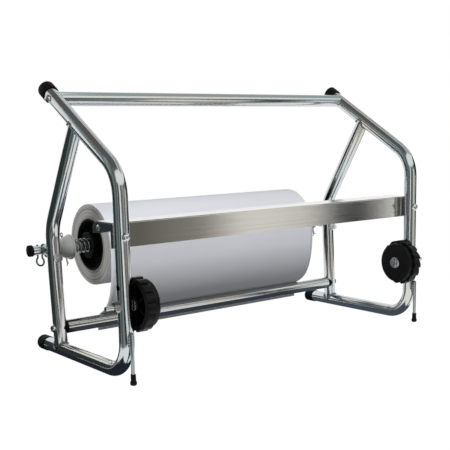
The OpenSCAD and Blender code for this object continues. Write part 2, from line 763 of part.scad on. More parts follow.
module sprung(side) color(zinc) stand() translate([0, spindle_y, spindle_h])
    mirror([side < 0 ? 1 : 0, 0, 0]) coil_spring(side);

module left_coil_spring() sprung(-1);
module right_coil_spring() sprung(1);

// Core cone: a shallow cup that tapers into the core; its rim flares and stops in the flared mouth
cone_rim_out = 0.8;
cone_wall = 3;
cone_taper = 3.5;
mouth_flare = 1.2;
mouth_depth = 6;

module core_cone(side) color(hub_black) stand() {
    mouth_r = core_id / 2 - move_gap;
    rim_r = mouth_r + mouth_flare;
    nose_r = mouth_r - cone_depth * tan(cone_taper) - 2;
    length = cone_depth + cone_boss_out;
    rim_at = cone_depth + cone_rim_out;
    seat_r = coil_r + coil_wire / 2 + 3 * move_gap;
    bore_r = spindle_r + turn_gap;
    along_x(roll_end(side) - cone_depth, spindle_axis) rotate_extrude() difference() {
        union() {
            polygon([[0, 0], [nose_r - 2, 0], [nose_r, 2], [mouth_r, cone_depth - mouth_depth],
                [rim_r, cone_depth], [rim_r, rim_at], [mouth_r - cone_wall / 2, rim_at],
                [nose_r - cone_wall, cone_wall + 2], [0, cone_wall + 2]]);
            square([cone_boss_d / 2, length]);
        }
        translate([0, -1]) square([bore_r, length + 2]);
        translate([0, length - spring_seat]) square([seat_r, spring_seat + 1]);
    }
}

module left_core_cone() mirror([1, 0, 0]) core_cone(-1);
module right_core_cone() core_cone(1);

// Paper

module roll_ring(outer, inner) along_x(roll_x - roll_w / 2, spindle_axis) difference() {
    cylinder(d = outer, h = roll_w, $fn = 128);
    translate([0, 0, -1]) cylinder(d = inner, h = roll_w + 2, $fn = 128);
}

core_od = core_id + 2 * core_wall;

// What flares one mouth of the core, drawn along +Z from the end of the roll inwards
module core_mouth() cylinder(d1 = core_id + 2 * mouth_flare, d2 = core_id, h = mouth_depth, $fn = 128);

module core_tube() color(card) stand() difference() {
    roll_ring(core_od, core_id);
    along_x(-roll_end(-1), spindle_axis) core_mouth();
    mirror([1, 0, 0]) along_x(-roll_end(1), spindle_axis) core_mouth();
}

module paper_roll() color(paper) stand() roll_ring(roll_d, core_od + 2 * joint_gap);

// The sheet leaves the front of the roll, still curled from it, lies over the lower bar and hangs
// behind it. Between roll and bar it follows a curve with a pull at each end.

web_gap = move_gap + web_t / 2;
web_roll_r = roll_r + web_gap;
web_bar_r = tube_r + web_gap;
web_lap = 20;
web_over = 70;
web_pull = [76, 28];
web_steps = 10;
web_leave = spindle_axis - [web_roll_r, 0];
web_touch = lower_bar + polar(web_bar_r, web_over);
web_curve = [web_leave, web_leave - [0, web_pull[0]],
    web_touch + polar(web_pull[1], web_over + 90), web_touch];
function bezier(p, t) = pow(1 - t, 3) * p[0] + 3 * t * pow(1 - t, 2) * p[1]
    + 3 * t * t * (1 - t) * p[2] + pow(t, 3) * p[3];

// Middle of the sheet: on the roll, along the curve, round the bar and down to the end
web_middle = concat(
    [for (i = [0 : 3]) spindle_axis + polar(web_roll_r, 180 - web_lap * (1 - i / 4))],
    [for (i = [0 : web_steps]) bezier(web_curve, i / web_steps)],
    [for (i = [1 : 5]) lower_bar + polar(web_bar_r, web_over * (1 - i / 5))],
    [[lower_bar[0] + web_bar_r, web_end_h]]);
function web_side(i) = let (u = run_dir(web_middle, i)) [-u[1], u[0]] * web_t / 2;
function reversed(p) = [for (i = [len(p) - 1 : -1 : 0]) p[i]];

module paper_web() color(paper) stand() side_plane(roll_x - roll_w / 2) linear_extrude(roll_w)
    polygon(concat([for (i = [0 : len(web_middle) - 1]) web_middle[i] + web_side(i)],
        reversed([for (i = [0 : len(web_middle) - 1]) web_middle[i] - web_side(i)])));

// Nodes

left_side_tube();
right_side_tube();
left_rear_strut();
right_rear_strut();
top_cross_bar();
lower_cross_bar();
bar_end_plugs();
top_bar_bolts();
lower_bar_bolts();
left_top_cap();
right_top_cap();
left_foot_cap();
right_foot_cap();
left_support_rod();
right_support_rod();
left_rod_tip();
right_rod_tip();
cutter_bar();
cutter_bolts();
cutter_nuts();
left_flap_bracket();
right_flap_bracket();
flap_rivets();
paper_flap();
left_hook_bolt();
right_hook_bolt();
hook_nuts();
hook_washers();
left_hub_bolt();
right_hub_bolt();
hub_nuts();
hub_washers();
left_tape_hub();
right_tape_hub();
spindle_tube();
spindle_plugs();
left_spring_clip();
right_spring_clip();
split_pins();
left_nylon_bell();
right_nylon_bell();
left_coil_spring();
right_coil_spring();
left_core_cone();
right_core_cone();
core_tube();
paper_roll();
paper_web();
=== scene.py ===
# %% [markdown]
# # A masking paper dispenser
#
# The real object is a bench stand of bent, zinc-plated tube. It carries one wide roll of
# masking paper on a sprung spindle, a stainless tear-off bar with a hinged paper flap, and two
# black hubs for masking tape. The solids already have their true size and place, so this lesson
# only adds what a camera sees: the finishes, and the pieces that are soft, wound or welded.
# Everything is in metres, with X to the right, Y to the rear and Z up.

# %% Load the solids
import json
import math
from functools import partial

import bmesh
import bpy
from mathutils import Matrix, Vector, geometry


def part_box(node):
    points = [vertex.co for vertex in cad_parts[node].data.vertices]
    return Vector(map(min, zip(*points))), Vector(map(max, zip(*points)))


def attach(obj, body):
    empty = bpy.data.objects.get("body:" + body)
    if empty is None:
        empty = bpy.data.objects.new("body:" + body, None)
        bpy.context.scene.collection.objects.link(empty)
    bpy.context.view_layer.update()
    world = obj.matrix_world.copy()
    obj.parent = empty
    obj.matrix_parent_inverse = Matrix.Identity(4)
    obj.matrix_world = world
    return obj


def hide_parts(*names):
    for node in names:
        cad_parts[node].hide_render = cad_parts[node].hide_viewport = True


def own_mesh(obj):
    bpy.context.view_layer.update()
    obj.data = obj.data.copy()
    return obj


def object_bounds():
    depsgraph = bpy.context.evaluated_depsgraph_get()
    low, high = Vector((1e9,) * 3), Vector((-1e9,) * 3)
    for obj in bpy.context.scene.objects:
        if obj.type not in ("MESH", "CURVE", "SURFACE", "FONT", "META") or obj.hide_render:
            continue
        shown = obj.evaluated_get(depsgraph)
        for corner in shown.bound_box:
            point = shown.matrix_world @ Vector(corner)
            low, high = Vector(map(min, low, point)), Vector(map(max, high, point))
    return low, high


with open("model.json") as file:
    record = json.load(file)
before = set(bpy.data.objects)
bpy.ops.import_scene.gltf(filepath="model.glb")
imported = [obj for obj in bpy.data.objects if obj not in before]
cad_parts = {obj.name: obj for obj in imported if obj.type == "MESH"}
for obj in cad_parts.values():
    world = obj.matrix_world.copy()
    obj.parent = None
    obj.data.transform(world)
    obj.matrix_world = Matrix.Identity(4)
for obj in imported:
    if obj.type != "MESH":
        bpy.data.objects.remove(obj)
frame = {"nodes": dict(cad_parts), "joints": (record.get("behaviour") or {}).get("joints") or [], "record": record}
cad_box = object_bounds()
nodes = frame["nodes"]
joints = {joint["name"]: joint for joint in frame["joints"]}
print("solids:", len(nodes), "box:", [round(side, 3) for side in cad_box[1] - cad_box[0]])

# %% [markdown]
# ## The camera
#
# The photograph was taken from the front left, a little above the top of the stand. A camera
# could be placed by eye, but the straight tubes fix it: their edges give the turn, the tilt and
# the distance. The image is square, and the small shift keeps the object where the photograph
# has it without turning the camera.

# %% Camera
CAMERA_PLACE = (-0.8261, -1.0642, 0.3190)
CAMERA_TURN = 38.28
CAMERA_TILT = 10.34
CAMERA_ROLL = -1.20
CAMERA_LENS = 69.03
CAMERA_SHIFT = (-0.04075, 0.14316)
SENSOR_WIDTH = 36.0
VIEW_RANGE = (0.05, 50.0)


def turn(degrees, axis):
    return Matrix.Rotation(math.radians(degrees), 4, axis)


lens = bpy.data.cameras.new("camera")
lens.lens = CAMERA_LENS
lens.sensor_width = SENSOR_WIDTH
lens.shift_x, lens.shift_y = CAMERA_SHIFT
lens.clip_start, lens.clip_end = VIEW_RANGE
camera = bpy.data.objects.new("camera", lens)
bpy.context.scene.collection.objects.link(camera)
aim = turn(-CAMERA_TURN, "Z") @ turn(90.0 - CAMERA_TILT, "X") @ turn(CAMERA_ROLL, "Z")
camera.matrix_world = Matrix.Translation(CAMERA_PLACE) @ aim
bpy.context.scene.camera = camera
bpy.context.scene.view_settings.view_transform = "Standard"
print("camera looks along", [round(x, 3) for x in -(aim.to_3x3().col[2])])

# %% [markdown]
# ## Shader sums in plain Python
#
# A material is a graph of nodes, and wiring one by hand hides the idea behind the links. This
# small class wraps one output socket, so that `0.1 + 0.2 * clouds` adds the Math nodes for it.
# Any other node comes from its one node-making method: settings first, then the sockets.


# %% Signals
class Signal:
    """A value on its way through a material. Arithmetic on it adds Math nodes."""

    def __init__(self, tree, socket=None):
        self.tree = tree
        self.socket = socket

    def node(self, kind, settings=None, sockets=None, out=0):
        made = self.tree.nodes.new("ShaderNode" + kind)
        for name, value in (settings or {}).items():
            setattr(made, name, value)
        self.feed(made, sockets or {})
        return Signal(self.tree, made.outputs[out])

    def feed(self, made, sockets):
        for name, value in sockets.items():
            if isinstance(value, Signal):
                self.tree.links.new(value.socket, made.inputs[name])
            else:
                made.inputs[name].default_value = value

    def math(self, operation, first, second):
        return self.node("Math", {"operation": operation}, {0: first, 1: second})

    def __add__(self, other):
        return self.math("ADD", self, other)

    def __sub__(self, other):
        return self.math("SUBTRACT", self, other)

    def __rsub__(self, other):
        return self.math("SUBTRACT", other, self)

    def __mul__(self, other):
        return self.math("MULTIPLY", self, other)

    __radd__ = __add__
    __rmul__ = __mul__


def shade(red, green, blue):
    """A colour as an eye reads it, from 0 to 255, as the linear colour that a shader wants."""
    parts = [part / 255 for part in (red, green, blue)]
    linear = [part / 12.92 if part <= 0.04045 else ((part + 0.055) / 1.055) ** 2.4 for part in parts]
    return (*linear, 1.0)


print("a middle grey is", [round(part, 3) for part in shade(128, 128, 128)])

# %% [markdown]
# ## Floor and light
#
# The stand was photographed on white: the floor and the background run into each other. More
# light on the object would only bleach the paper, so the white is painted on the background for
# the eye and for reflections alone. For light that bounces, the floor is a grey board. What
# really lights the object is one large soft lamp above and in front, with a weak fill from the
# left and a low one from the right, which lifts the shade where the paper nears the lower bar.
# The metal does not see the lamps themselves, because the cards below paint its streaks.

# %% Floor and light
WHITE = (1.0, 1.0, 1.0, 1.0)
AMBIENT = 0.08
FLOOR_SIZE = 14.0
FLOOR_SHARE = 0.86
FLOOR_GLOW = 1.16
FLOOR_BOARD = (0.26, 0.26, 0.27, 1.0)


def bare_tree(owner):
    owner.use_nodes = True
    owner.node_tree.nodes.clear()
    return Signal(owner.node_tree)


def seen_rays(bench):
    """1 for rays that show the background: straight to the eye, by reflection or through glass."""
    path = bench.node("LightPath", out="Is Camera Ray").socket.node
    outs = ("Is Camera Ray", "Is Glossy Ray", "Is Transmission Ray")
    camera_ray, glossy_ray, through_ray = (Signal(bench.tree, path.outputs[out]) for out in outs)
    return camera_ray + glossy_ray + through_ray


def add_world():
    world = bpy.data.worlds.new("studio")
    bpy.context.scene.world = world
    bench = bare_tree(world)
    soft = bench.node("Background", sockets={"Color": WHITE, "Strength": AMBIENT})
    white = bench.node("Background", sockets={"Color": WHITE, "Strength": 1.0})
    both = bench.node("MixShader", sockets={0: seen_rays(bench), 1: soft, 2: white})
    bench.feed(bench.tree.nodes.new("ShaderNodeOutputWorld"), {"Surface": both})


def stage_object(name, bm, material):
    mesh = bpy.data.meshes.new(name)
    bm.to_mesh(mesh)
    bm.free()
    mesh.materials.append(material)
    made = bpy.data.objects.new(name, mesh)
    bpy.context.scene.collection.objects.link(made)
    return made


def floor_material():
    material = bpy.data.materials.new("pale_floor")
    bench = bare_tree(material)
    board = bench.node("BsdfDiffuse", sockets={"Color": FLOOR_BOARD})
    white = bench.node("Emission", sockets={"Color": WHITE, "Strength": FLOOR_GLOW})
    both = bench.node("MixShader", sockets={0: seen_rays(bench) * FLOOR_SHARE, 1: board, 2: white})
    bench.feed(bench.tree.nodes.new("ShaderNodeOutputMaterial"), {"Surface": both})
    return material


def add_floor():
    bm = bmesh.new()
    bmesh.ops.create_grid(bm, x_segments=1, y_segments=1, size=FLOOR_SIZE / 2)
    bmesh.ops.translate(bm, vec=(0.0, 0.0, cad_box[0].z), verts=bm.verts)
    stage_object("floor", bm, floor_material())


def soft_lamp(name, place, target, size, watts):
    lamp = bpy.data.lights.new(name, "AREA")
    lamp.shape = "RECTANGLE"
    lamp.size, lamp.size_y = size
    lamp.energy = watts
    made = bpy.data.objects.new(name, lamp)
    bpy.context.scene.collection.objects.link(made)
    way = Vector(target) - Vector(place)
    made.matrix_world = Matrix.Translation(place) @ way.to_track_quat("-Z", "Y").to_matrix().to_4x4()
    made.visible_camera = False
    made.visible_glossy = False


add_world()
add_floor()
soft_lamp("key_softbox", place=(0.0, -1.3, 1.95), target=(0.0, 0.0, 0.15), size=(1.8, 1.2), watts=40.0)
soft_lamp("left_fill", place=(-2.5, -0.15, 0.4), target=(-0.2, 0.05, 0.16), size=(1.2, 0.8), watts=28.0)
soft_lamp("low_fill", place=(0.48, -0.36, 0.02), target=(0.16, 0.05, 0.07), size=(0.4, 0.1), watts=0.5)
print("ambient", AMBIENT, "floor", FLOOR_SIZE, "m across")

# %% [markdown]
# ## Studio cards
#
# Bright metal has hardly any colour of its own: it shows the studio. A photographer stands dark
# and grey cards round it, so that each tube gets black edges and long streaks. These cards do the
# same. Most are bent like an L: such a card lies on the floor, where most reflections of an
# upright tube end up, and then stands up. A few flat ones hang above the stand. The dark flat
# ones under the stand are painted shadow: they put the stand's own shadow on the floor into the
# reflections of the metal. Only reflections see them: they throw no shadow, take no light from the
# paper, and stay out of the picture.

# %% Card colours and places
BLACK = (0.006, 0.006, 0.007)
DARK = (0.05, 0.055, 0.055)
CEILING = (0.13, 0.125, 0.12)
CEILING_RIGHT = (0.42, 0.45, 0.45)
# The three colours for the cards under the stand are painted shadow, seen only in reflections.
SHADOW_UNDER_RIGHT_FOOT = (0.085, 0.10, 0.125)
TEAL = (0.035, 0.044, 0.044)
SHADOW_UNDER_BAR = (0.05, 0.06, 0.075)
SHADOW_UNDER_LEFT_FOOT = (0.02, 0.025, 0.033)
CARD_LIFT = 0.0006
UPPER_LIFT = 2 * CARD_LIFT
CEILING_HIGH = 2.6
NEAR, FAR, RING_REACH = 0.43, 1.0, 1.9
LOW, HIGH = 1.0, 2.2
# From one angle to another, distance of the inner edge, height and colour
RING_CARDS = [
    (142, 152, NEAR, HIGH, (0.16, 0.19, 0.18)),
    (152, 163, NEAR, HIGH, (0.36, 0.40, 0.38)),
    (163, 185, NEAR, HIGH, (0.20, 0.23, 0.22)),
    (185, 198, NEAR, HIGH, (0.10, 0.11, 0.11)),
    (198, 212, NEAR, HIGH, (0.27, 0.29, 0.28)),
    (212, 226, NEAR, LOW, BLACK),
    (243, 252, NEAR, LOW, DARK),
    (252, 275, NEAR, LOW, (0.27, 0.24, 0.23)),
    (275, 288, NEAR, LOW, (0.44, 0.40, 0.40)),
    (288, 315, NEAR, LOW, (0.10, 0.09, 0.085)),
    (315, 330, NEAR, LOW, (0.30, 0.30, 0.29)),
    (330, 390, FAR, LOW, BLACK),
]
BAR_CARD_NEAR, BAR_CARD_FAR, BAR_CARD_HIGH = -0.55, -0.75, 0.45
# From one X to another, and colour
BAR_CARDS = [
    (0.03, 0.20, (0.14, 0.14, 0.12)),
    (0.20, 0.35, (0.25, 0.245, 0.22)),
    (0.35, 0.39, (0.52, 0.51, 0.49)),
    (0.39, 0.56, (0.90, 0.89, 0.86)),
    (0.56, 0.69, (0.79, 0.785, 0.765)),
    (0.69, 0.73, (0.40, 0.41, 0.41)),
    (0.73, 0.90, (0.004, 0.012, 0.018)),
    (0.90, 0.93, (0.30, 0.31, 0.32)),
    (0.93, 1.30, (0.95, 0.94, 0.91)),
]
LEFT_CARD = [(-0.35, 0.02, UPPER_LIFT), (-0.60, 0.02, UPPER_LIFT), (-0.60, 0.02, 0.34)]
LEFT_CARD_PUSH = (0.18, 0.92, 0.0)
# The cards under the stand are painted shadow: the stand's shadow on the floor, as the metal reflects it.
# Name, centre, size and colour
FLAT_CARDS = [
    ("card_under_bar", (0.0, 0.035, CARD_LIFT), (0.47, 0.17), SHADOW_UNDER_BAR),
    ("card_under_left_foot", (-0.285, 0.02, CARD_LIFT), (0.10, 0.30), SHADOW_UNDER_LEFT_FOOT),
    ("card_under_right_foot", (0.265, 0.02, CARD_LIFT), (0.10, 0.30), SHADOW_UNDER_RIGHT_FOOT),
    ("card_ceiling", (-1.0, 0.15, CEILING_HIGH), (3.2, 3.3), CEILING),
    ("card_ceiling_right", (2.2, 0.15, CEILING_HIGH), (2.6, 3.3), CEILING_RIGHT),
]
print("cards round the stand:", len(RING_CARDS), "and before the bar:", len(BAR_CARDS))

# %% Studio cards
RING_STEPS = 12


def card_material(name, colour):
    material = bpy.data.materials.new(name)
    bench = bare_tree(material)
    glow = bench.node("Emission", sockets={"Color": (*colour, 1.0), "Strength": 1.0})
    bench.feed(bench.tree.nodes.new("ShaderNodeOutputMaterial"), {"Surface": glow})
    return material


def add_card(name, bm, colour):
    made = stage_object(name, bm, card_material(name, colour))
    made.visible_camera = False
    made.visible_diffuse = False
    made.visible_shadow = False
    made.visible_transmission = False


def strip(bm, corners):
    """A few corners joined by edges, ready to be spun or extruded."""
    verts = [bm.verts.new(corner) for corner in corners]
    return verts + [bm.edges.new(pair) for pair in zip(verts, verts[1:])]


def ring_card(name, start, end, inner, high, colour):
    """An L-shaped card bent round the stand, between two compass angles in degrees from +X."""
    bm = bmesh.new()
    profile = strip(bm, [(inner, 0, CARD_LIFT), (RING_REACH, 0, CARD_LIFT), (RING_REACH, 0, high)])
    bmesh.ops.rotate(bm, cent=(0, 0, 0), matrix=turn(start, "Z").to_3x3(), verts=bm.verts)
    bmesh.ops.spin(bm, geom=profile, cent=(0, 0, 0), axis=(0, 0, 1), dvec=(0, 0, 0),
                   angle=math.radians(end - start), steps=RING_STEPS)
    add_card(name, bm, colour)


def straight_card(name, corners, push, colour):
    """A straight L-shaped card: its bent profile through three corners is pushed along a vector."""
    bm = bmesh.new()
    profile = strip(bm, corners)
    pushed = bmesh.ops.extrude_edge_only(bm, edges=profile[len(corners):])["geom"]
    moved = [part for part in pushed if isinstance(part, bmesh.types.BMVert)]
    bmesh.ops.translate(bm, vec=push, verts=moved)
    add_card(name, bm, colour)


def front_card(name, left, right, colour):
    """A straight card that faces the tear-off bar."""
    corners = [(left, BAR_CARD_NEAR, UPPER_LIFT), (left, BAR_CARD_FAR, UPPER_LIFT),
               (left, BAR_CARD_FAR, BAR_CARD_HIGH)]
    straight_card(name, corners, (right - left, 0.0, 0.0), colour)


def flat_card(name, centre, size, colour):
    bm = bmesh.new()
    bmesh.ops.create_grid(bm, x_segments=1, y_segments=1, size=0.5)
    bmesh.ops.scale(bm, vec=(*size, 1.0), verts=bm.verts)
    bmesh.ops.translate(bm, vec=centre, verts=bm.verts)
    add_card(name, bm, colour)


for start, *rest in RING_CARDS:
    ring_card("card_{}".format(start), start, *rest)
straight_card("card_beside_left", LEFT_CARD, LEFT_CARD_PUSH, TEAL)
for row in FLAT_CARDS:
    flat_card(*row)
for left, right, colour in BAR_CARDS:
    front_card("card_for_bar_{:.2f}".format(left), left, right, colour)

# %% [markdown]
# ## Finishes
#
# Every finish starts as a Principled surface that reads Object coordinates. Because each piece
# sits at the origin with its place in its mesh, these are real metres on the real object: a
# scale of 400 draws a grain of about two and a half millimetres wherever the piece is.


# %% A new finish
def new_finish(name):
    material = bpy.data.materials.new(name)
    material.use_nodes = True
    bench = Signal(material.node_tree)
    skin = material.node_tree.nodes["Principled BSDF"]
    finishes[name] = material
    return bench, skin, bench.node("TexCoord", out="Object")


def noise(bench, place, scale, detail=3.0, roughness=0.55, stretch=(1.0, 1.0, 1.0)):
    where = bench.node("Mapping", sockets={"Vector": place, "Scale": stretch})
    return bench.node("TexNoise", sockets={
        "Vector": where, "Scale": scale, "Detail": detail, "Roughness": roughness})


def between(bench, share, first, second):
    """A colour that runs from first to second as share goes from 0 to 1."""
    return bench.node("Mix", {"data_type": "RGBA"}, {0: share, 6: first, 7: second}, out=2)


def contrast(bench, value, low, high):
    """Stretches the part of a noise between low and high over the whole range from 0 to 1."""
    return bench.node("MapRange", {"clamp": True}, {"Value": value, "From Min": low, "From Max": high})


def bump(bench, height, distance, strength):
    return bench.node("Bump", sockets={"Height": height, "Distance": distance, "Strength": strength})


finishes = {}
print("finishes made:", len(finishes))

# %% [markdown]
# ### Zinc-plated steel
#
# Bright zinc is a mirror that has gone slightly cloudy: a cool grey with faint blue and straw
# patches left by the passivation bath, and fine draw lines from the tube mill. A plain chrome
# would look like a car bumper, so the colour drifts a little and the roughness has clouds. The
# thread of the hub bolts kept more of the straw colour, and welds are the same zinc over a burnt,
# lumpy bead.


# %% Zinc finishes
def zinc_plate(name, cool, warm, polish, grain, spots=0.35, soot=shade(120, 122, 120)):
    bench, skin, place = new_finish(name)
    clouds = noise(bench, place, 26.0, 4.0)
    blotches = contrast(bench, noise(bench, place, 9.0, 2.0), 0.35, 0.7)
    specks = contrast(bench, noise(bench, place, 620.0, 2.0), 0.62, 0.8)
    colour = between(bench, blotches, cool, warm)
    bench.feed(skin, {
        "Base Color": between(bench, specks * spots, colour, soot),
        "Metallic": 1.0,
        "Roughness": polish + grain * clouds + 0.12 * specks,
        "Normal": bump(bench, noise(bench, place, 1500.0, 2.0) * 0.4 + clouds, 0.00012, 0.05),
    })


zinc_plate("zinc_tube", shade(205, 213, 217), shade(212, 209, 201), polish=0.08, grain=0.11)
zinc_plate("zinc_hardware", shade(214, 219, 220), shade(220, 217, 206), polish=0.08, grain=0.12)
zinc_plate("straw_zinc", shade(226, 220, 200), shade(214, 208, 188), polish=0.20, grain=0.20)
zinc_plate("spring_wire", shade(158, 168, 172), shade(150, 152, 150), polish=0.12, grain=0.14)
zinc_plate("weld_bead", shade(168, 170, 168), shade(128, 120, 110), polish=0.26, grain=0.24,
           spots=1.0, soot=shade(52, 46, 42))
print("zinc finishes:", sorted(finishes))

# %% [markdown]
# ### Brushed stainless steel
#
# The tear-off bar and the flap are strip that was brushed along its length. The brush leaves
# grooves along X, too fine to see one by one, which smear what the bar reflects into soft upright
# bands. Strong bump would turn them into scratches, so most of the effect is plain roughness, and
# the grooves only break it up a little.


# %% Stainless finish
def brushed_strip(name):
    bench, skin, place = new_finish(name)
    grooves = noise(bench, place, 1.0, 3.0, 0.6, stretch=(6.0, 2600.0, 2600.0))
    long_marks = noise(bench, place, 1.0, 2.0, 0.5, stretch=(3.0, 420.0, 420.0))
    clouds = noise(bench, place, 7.0, 2.0)
    bench.feed(skin, {
        "Base Color": between(bench, long_marks, shade(206, 204, 198), shade(220, 218, 213)),
        "Metallic": 1.0,
        "Roughness": 0.10 + 0.03 * grooves + 0.02 * clouds,
        "Normal": bump(bench, grooves * 0.8 + long_marks * 0.4, 0.0005, 0.09),
    })


brushed_strip("stainless_strip")
print("stainless grooves run along X")

# %% [markdown]
# ### Paint, rubber and plastic
#
# The dark pieces differ in how they take the light. The bracket is satin paint with worn, paler
# patches. Rubber is dull with a dusty bloom. The moulded hubs have a spark-eroded grain that
# breaks up the highlight. The nylon bells are milky, so a little light travels inside them.


# %% Dark and milky finishes
def satin_paint(name):
    bench, skin, place = new_finish(name)
    peel = noise(bench, place, 700.0, 2.0)
    wear = contrast(bench, noise(bench, place, 60.0, 5.0), 0.58, 0.72)
    bench.feed(skin, {
        "Base Color": between(bench, wear * 0.5, shade(62, 72, 74), shade(96, 104, 104)),
        "Metallic": 0.55,
        "Roughness": 0.34 + 0.12 * wear + 0.08 * peel,
        "Normal": bump(bench, peel, 0.0001, 0.4),
    })


def dark_moulding(name, deep, dusty, gloss, grain_scale, sheen):
    bench, skin, place = new_finish(name)
    grain = noise(bench, place, grain_scale, 3.0)
    dust = contrast(bench, noise(bench, place, 70.0, 5.0), 0.5, 0.78)
    skin.inputs["Specular IOR Level"].default_value = sheen
    bench.feed(skin, {
        "Base Color": between(bench, dust, deep, dusty),
        "Roughness": gloss + 0.12 * grain + 0.16 * dust,
        "Normal": bump(bench, grain, 0.00012, 0.5),
    })


def milky_nylon(name):
    bench, skin, place = new_finish(name)
    marks = noise(bench, place, 75.0, 4.0)
    skin.inputs["Subsurface Weight"].default_value = 0.08
    skin.inputs["Subsurface Radius"].default_value = (0.004, 0.004, 0.0035)
    bench.feed(skin, {
        "Base Color": between(bench, marks, shade(176, 180, 176), shade(194, 197, 192)),
        "Roughness": 0.36 + 0.14 * marks,
        "Normal": bump(bench, marks, 0.0002, 0.3),
    })


satin_paint("bracket_steel")
dark_moulding("black_rubber", shade(9, 9, 10), shade(20, 20, 21), gloss=0.50, grain_scale=900.0,
              sheen=0.16)
dark_moulding("black_plastic", shade(8, 8, 9), shade(17, 17, 18), gloss=0.34, grain_scale=1300.0,
              sheen=0.20)
milky_nylon("nylon")
print("finishes so far:", len(finishes))

# %% [markdown]
# ### Paper and card
#
# The sheet is white with a cool, slightly lilac cast and a faint fibre. On the end of the roll
# one sees hundreds of cut edges: rings of slightly different grey-beige round the spindle. The
# rings depend only on the distance from the spindle's axis, so the finish measures that distance
# and draws one-dimensional noise along it.

# %% Paper finishes
spindle_axis = Vector(joints["roll_spin"]["pos_m"])


def sheet_paper(name):
    bench, skin, place = new_finish(name)
    fibre = noise(bench, place, 520.0, 4.0, 0.65)
    bands = noise(bench, place, 1.0, 2.0, stretch=(5.0, 34.0, 34.0))
    tone = fibre * 0.5 + bands * 0.5
    bench.feed(skin, {
        "Base Color": between(bench, tone, shade(226, 229, 236), shade(238, 240, 245)),
        "Roughness": 0.62 + 0.12 * fibre,
        "Normal": bump(bench, fibre * 0.5 + bands, 0.0003, 0.25),
    })


def ring_noise(bench, radius, per_metre):
    return bench.node("TexNoise", {"noise_dimensions": "1D"}, {
        "W": radius * per_metre, "Detail": 2.0, "Scale": 1.0})


def cut_edges(name):
    bench, skin, place = new_finish(name)
    flat = bench.node("VectorMath", {"operation": "SUBTRACT"}, {0: place, 1: spindle_axis})
    flat = bench.node("VectorMath", {"operation": "MULTIPLY"}, {0: flat, 1: (0.0, 1.0, 1.0)})
    radius = bench.node("VectorMath", {"operation": "LENGTH"}, {0: flat}, out="Value")
    broad = ring_noise(bench, radius, 420.0)
    fine = ring_noise(bench, radius, 3600.0)
    rings = contrast(bench, broad * 0.7 + fine * 0.3, 0.38, 0.62)
    smudge = noise(bench, place, 30.0, 3.0)
    tone = between(bench, rings, shade(128, 127, 124), shade(206, 206, 204))
    bench.feed(skin, {
        "Base Color": between(bench, smudge * 0.35, tone, shade(168, 166, 159)),
        "Roughness": 0.85,
        "Normal": bump(bench, fine + broad, 0.0004, 0.5),
    })


def wound_card(name):
    bench, skin, place = new_finish(name)
    flecks = noise(bench, place, 340.0, 5.0, 0.7)
    bench.feed(skin, {
        "Base Color": between(bench, flecks, shade(146, 141, 131), shade(178, 173, 163)),
        "Roughness": 0.8 + 0.1 * flecks,
        "Normal": bump(bench, flecks, 0.0003, 0.4),
    })


sheet_paper("paper")
cut_edges("cut_edges")
wound_card("card")
print("paper finishes ready; rings centre on", [round(x, 4) for x in spindle_axis])

# %% [markdown]
# ## Dressing the solids
#
# The record says which slot each solid belongs to, and the finishes carry the slots' names, so
# one loop dresses them all. The thin support rods are drawn wire, duller than the tubes.

# %% Dress every solid
DRAWN_WIRE = ("left_support_rod", "right_support_rod")
slot_of = {part["node"]: part["material_slot"] for part in frame["record"]["subparts"]}
body_of = {node: body for body, held in frame["record"]["behaviour"]["bodies"].items() for node in held}
for name, solid in nodes.items():
    solid.data.materials.clear()
    solid.data.materials.append(finishes["spring_wire" if name in DRAWN_WIRE else slot_of[name]])
print("dressed", len(nodes), "solids in", len(set(slot_of.values())), "finishes")

# %% [markdown]
# ## Making a piece
#
# Each new piece starts as a bmesh, gets its finish, and rides on the body that carries it. Faces
# are shaded smooth, apart from edges that turn by more than a set angle.


# %% Piece helper
def make_piece(name, bm, slot, body, stands_for=(), skins=None, crease=35.0):
    mesh = bpy.data.meshes.new(name)
    bm.to_mesh(mesh)
    bm.free()
    for skin in skins or [slot]:
        mesh.materials.append(finishes[skin])
    mesh.shade_smooth()
    mesh.set_sharp_from_angle(angle=math.radians(crease))
    piece = bpy.data.objects.new(name, mesh)
    bpy.context.scene.collection.objects.link(piece)
    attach(piece, body)
    if stands_for:
        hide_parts(*stands_for)
    print(name, "has", len(mesh.polygons), "faces")
    return piece


def only(kind, geom):
    return [item for item in geom if isinstance(item, kind)]


def edges_among(verts):
    """The edges whose two ends are both in a list of vertices."""
    inside = set(verts)
    return list({edge for vert in verts for edge in vert.link_edges if inside.issuperset(edge.verts)})


SIDES = {"left": -1.0, "right": 1.0}
print("paired pieces stand on:", sorted(SIDES))

# %% [markdown]
# ## Eased edges
#
# No real edge is perfectly sharp: a sheared strip has a burr that was broken off, and a moulding
# has a small radius. Such an edge catches a thin line of light, which is most of what tells a
# viewer that black plastic is a solid thing. A copy of each hard-edged solid is welded together,
# its flat faces are joined, and every sharp edge gets a narrow round bevel. Weighted normals keep
# the large faces looking flat, so that only the bevels bend the light. Three kinds of solid are
# also nudged towards the photograph: the hub bolts get slimmer and end sooner, the drums of the
# hubs get plain, because a ring of grips follows further down, and the lower bar's plugs show
# only a thin black rim.

# %% Eased copies
SHARP = math.radians(40.0)
FLAT = math.radians(1.0)
WELD = 1e-6
EASED = {
    0.00025: ["paper_flap", "hub_washers", "hook_washers"],
    0.0003: ["cutter_bar", "hub_nuts", "hook_nuts", "cutter_nuts", "left_hub_bolt", "right_hub_bolt"],
    0.0004: ["left_flap_bracket", "right_flap_bracket", "core_tube"],
    0.0006: ["left_tape_hub", "right_tape_hub", "left_core_cone", "right_core_cone", "bar_end_plugs"],
}
CAD_SHANK = 0.0042
HUB_BOLT_RADIUS = 0.0031
HUB_BOLT_SHORTER = 0.0025
DRUM_RADIUS = 0.0328
COLLAR_PLATED = 0.0024


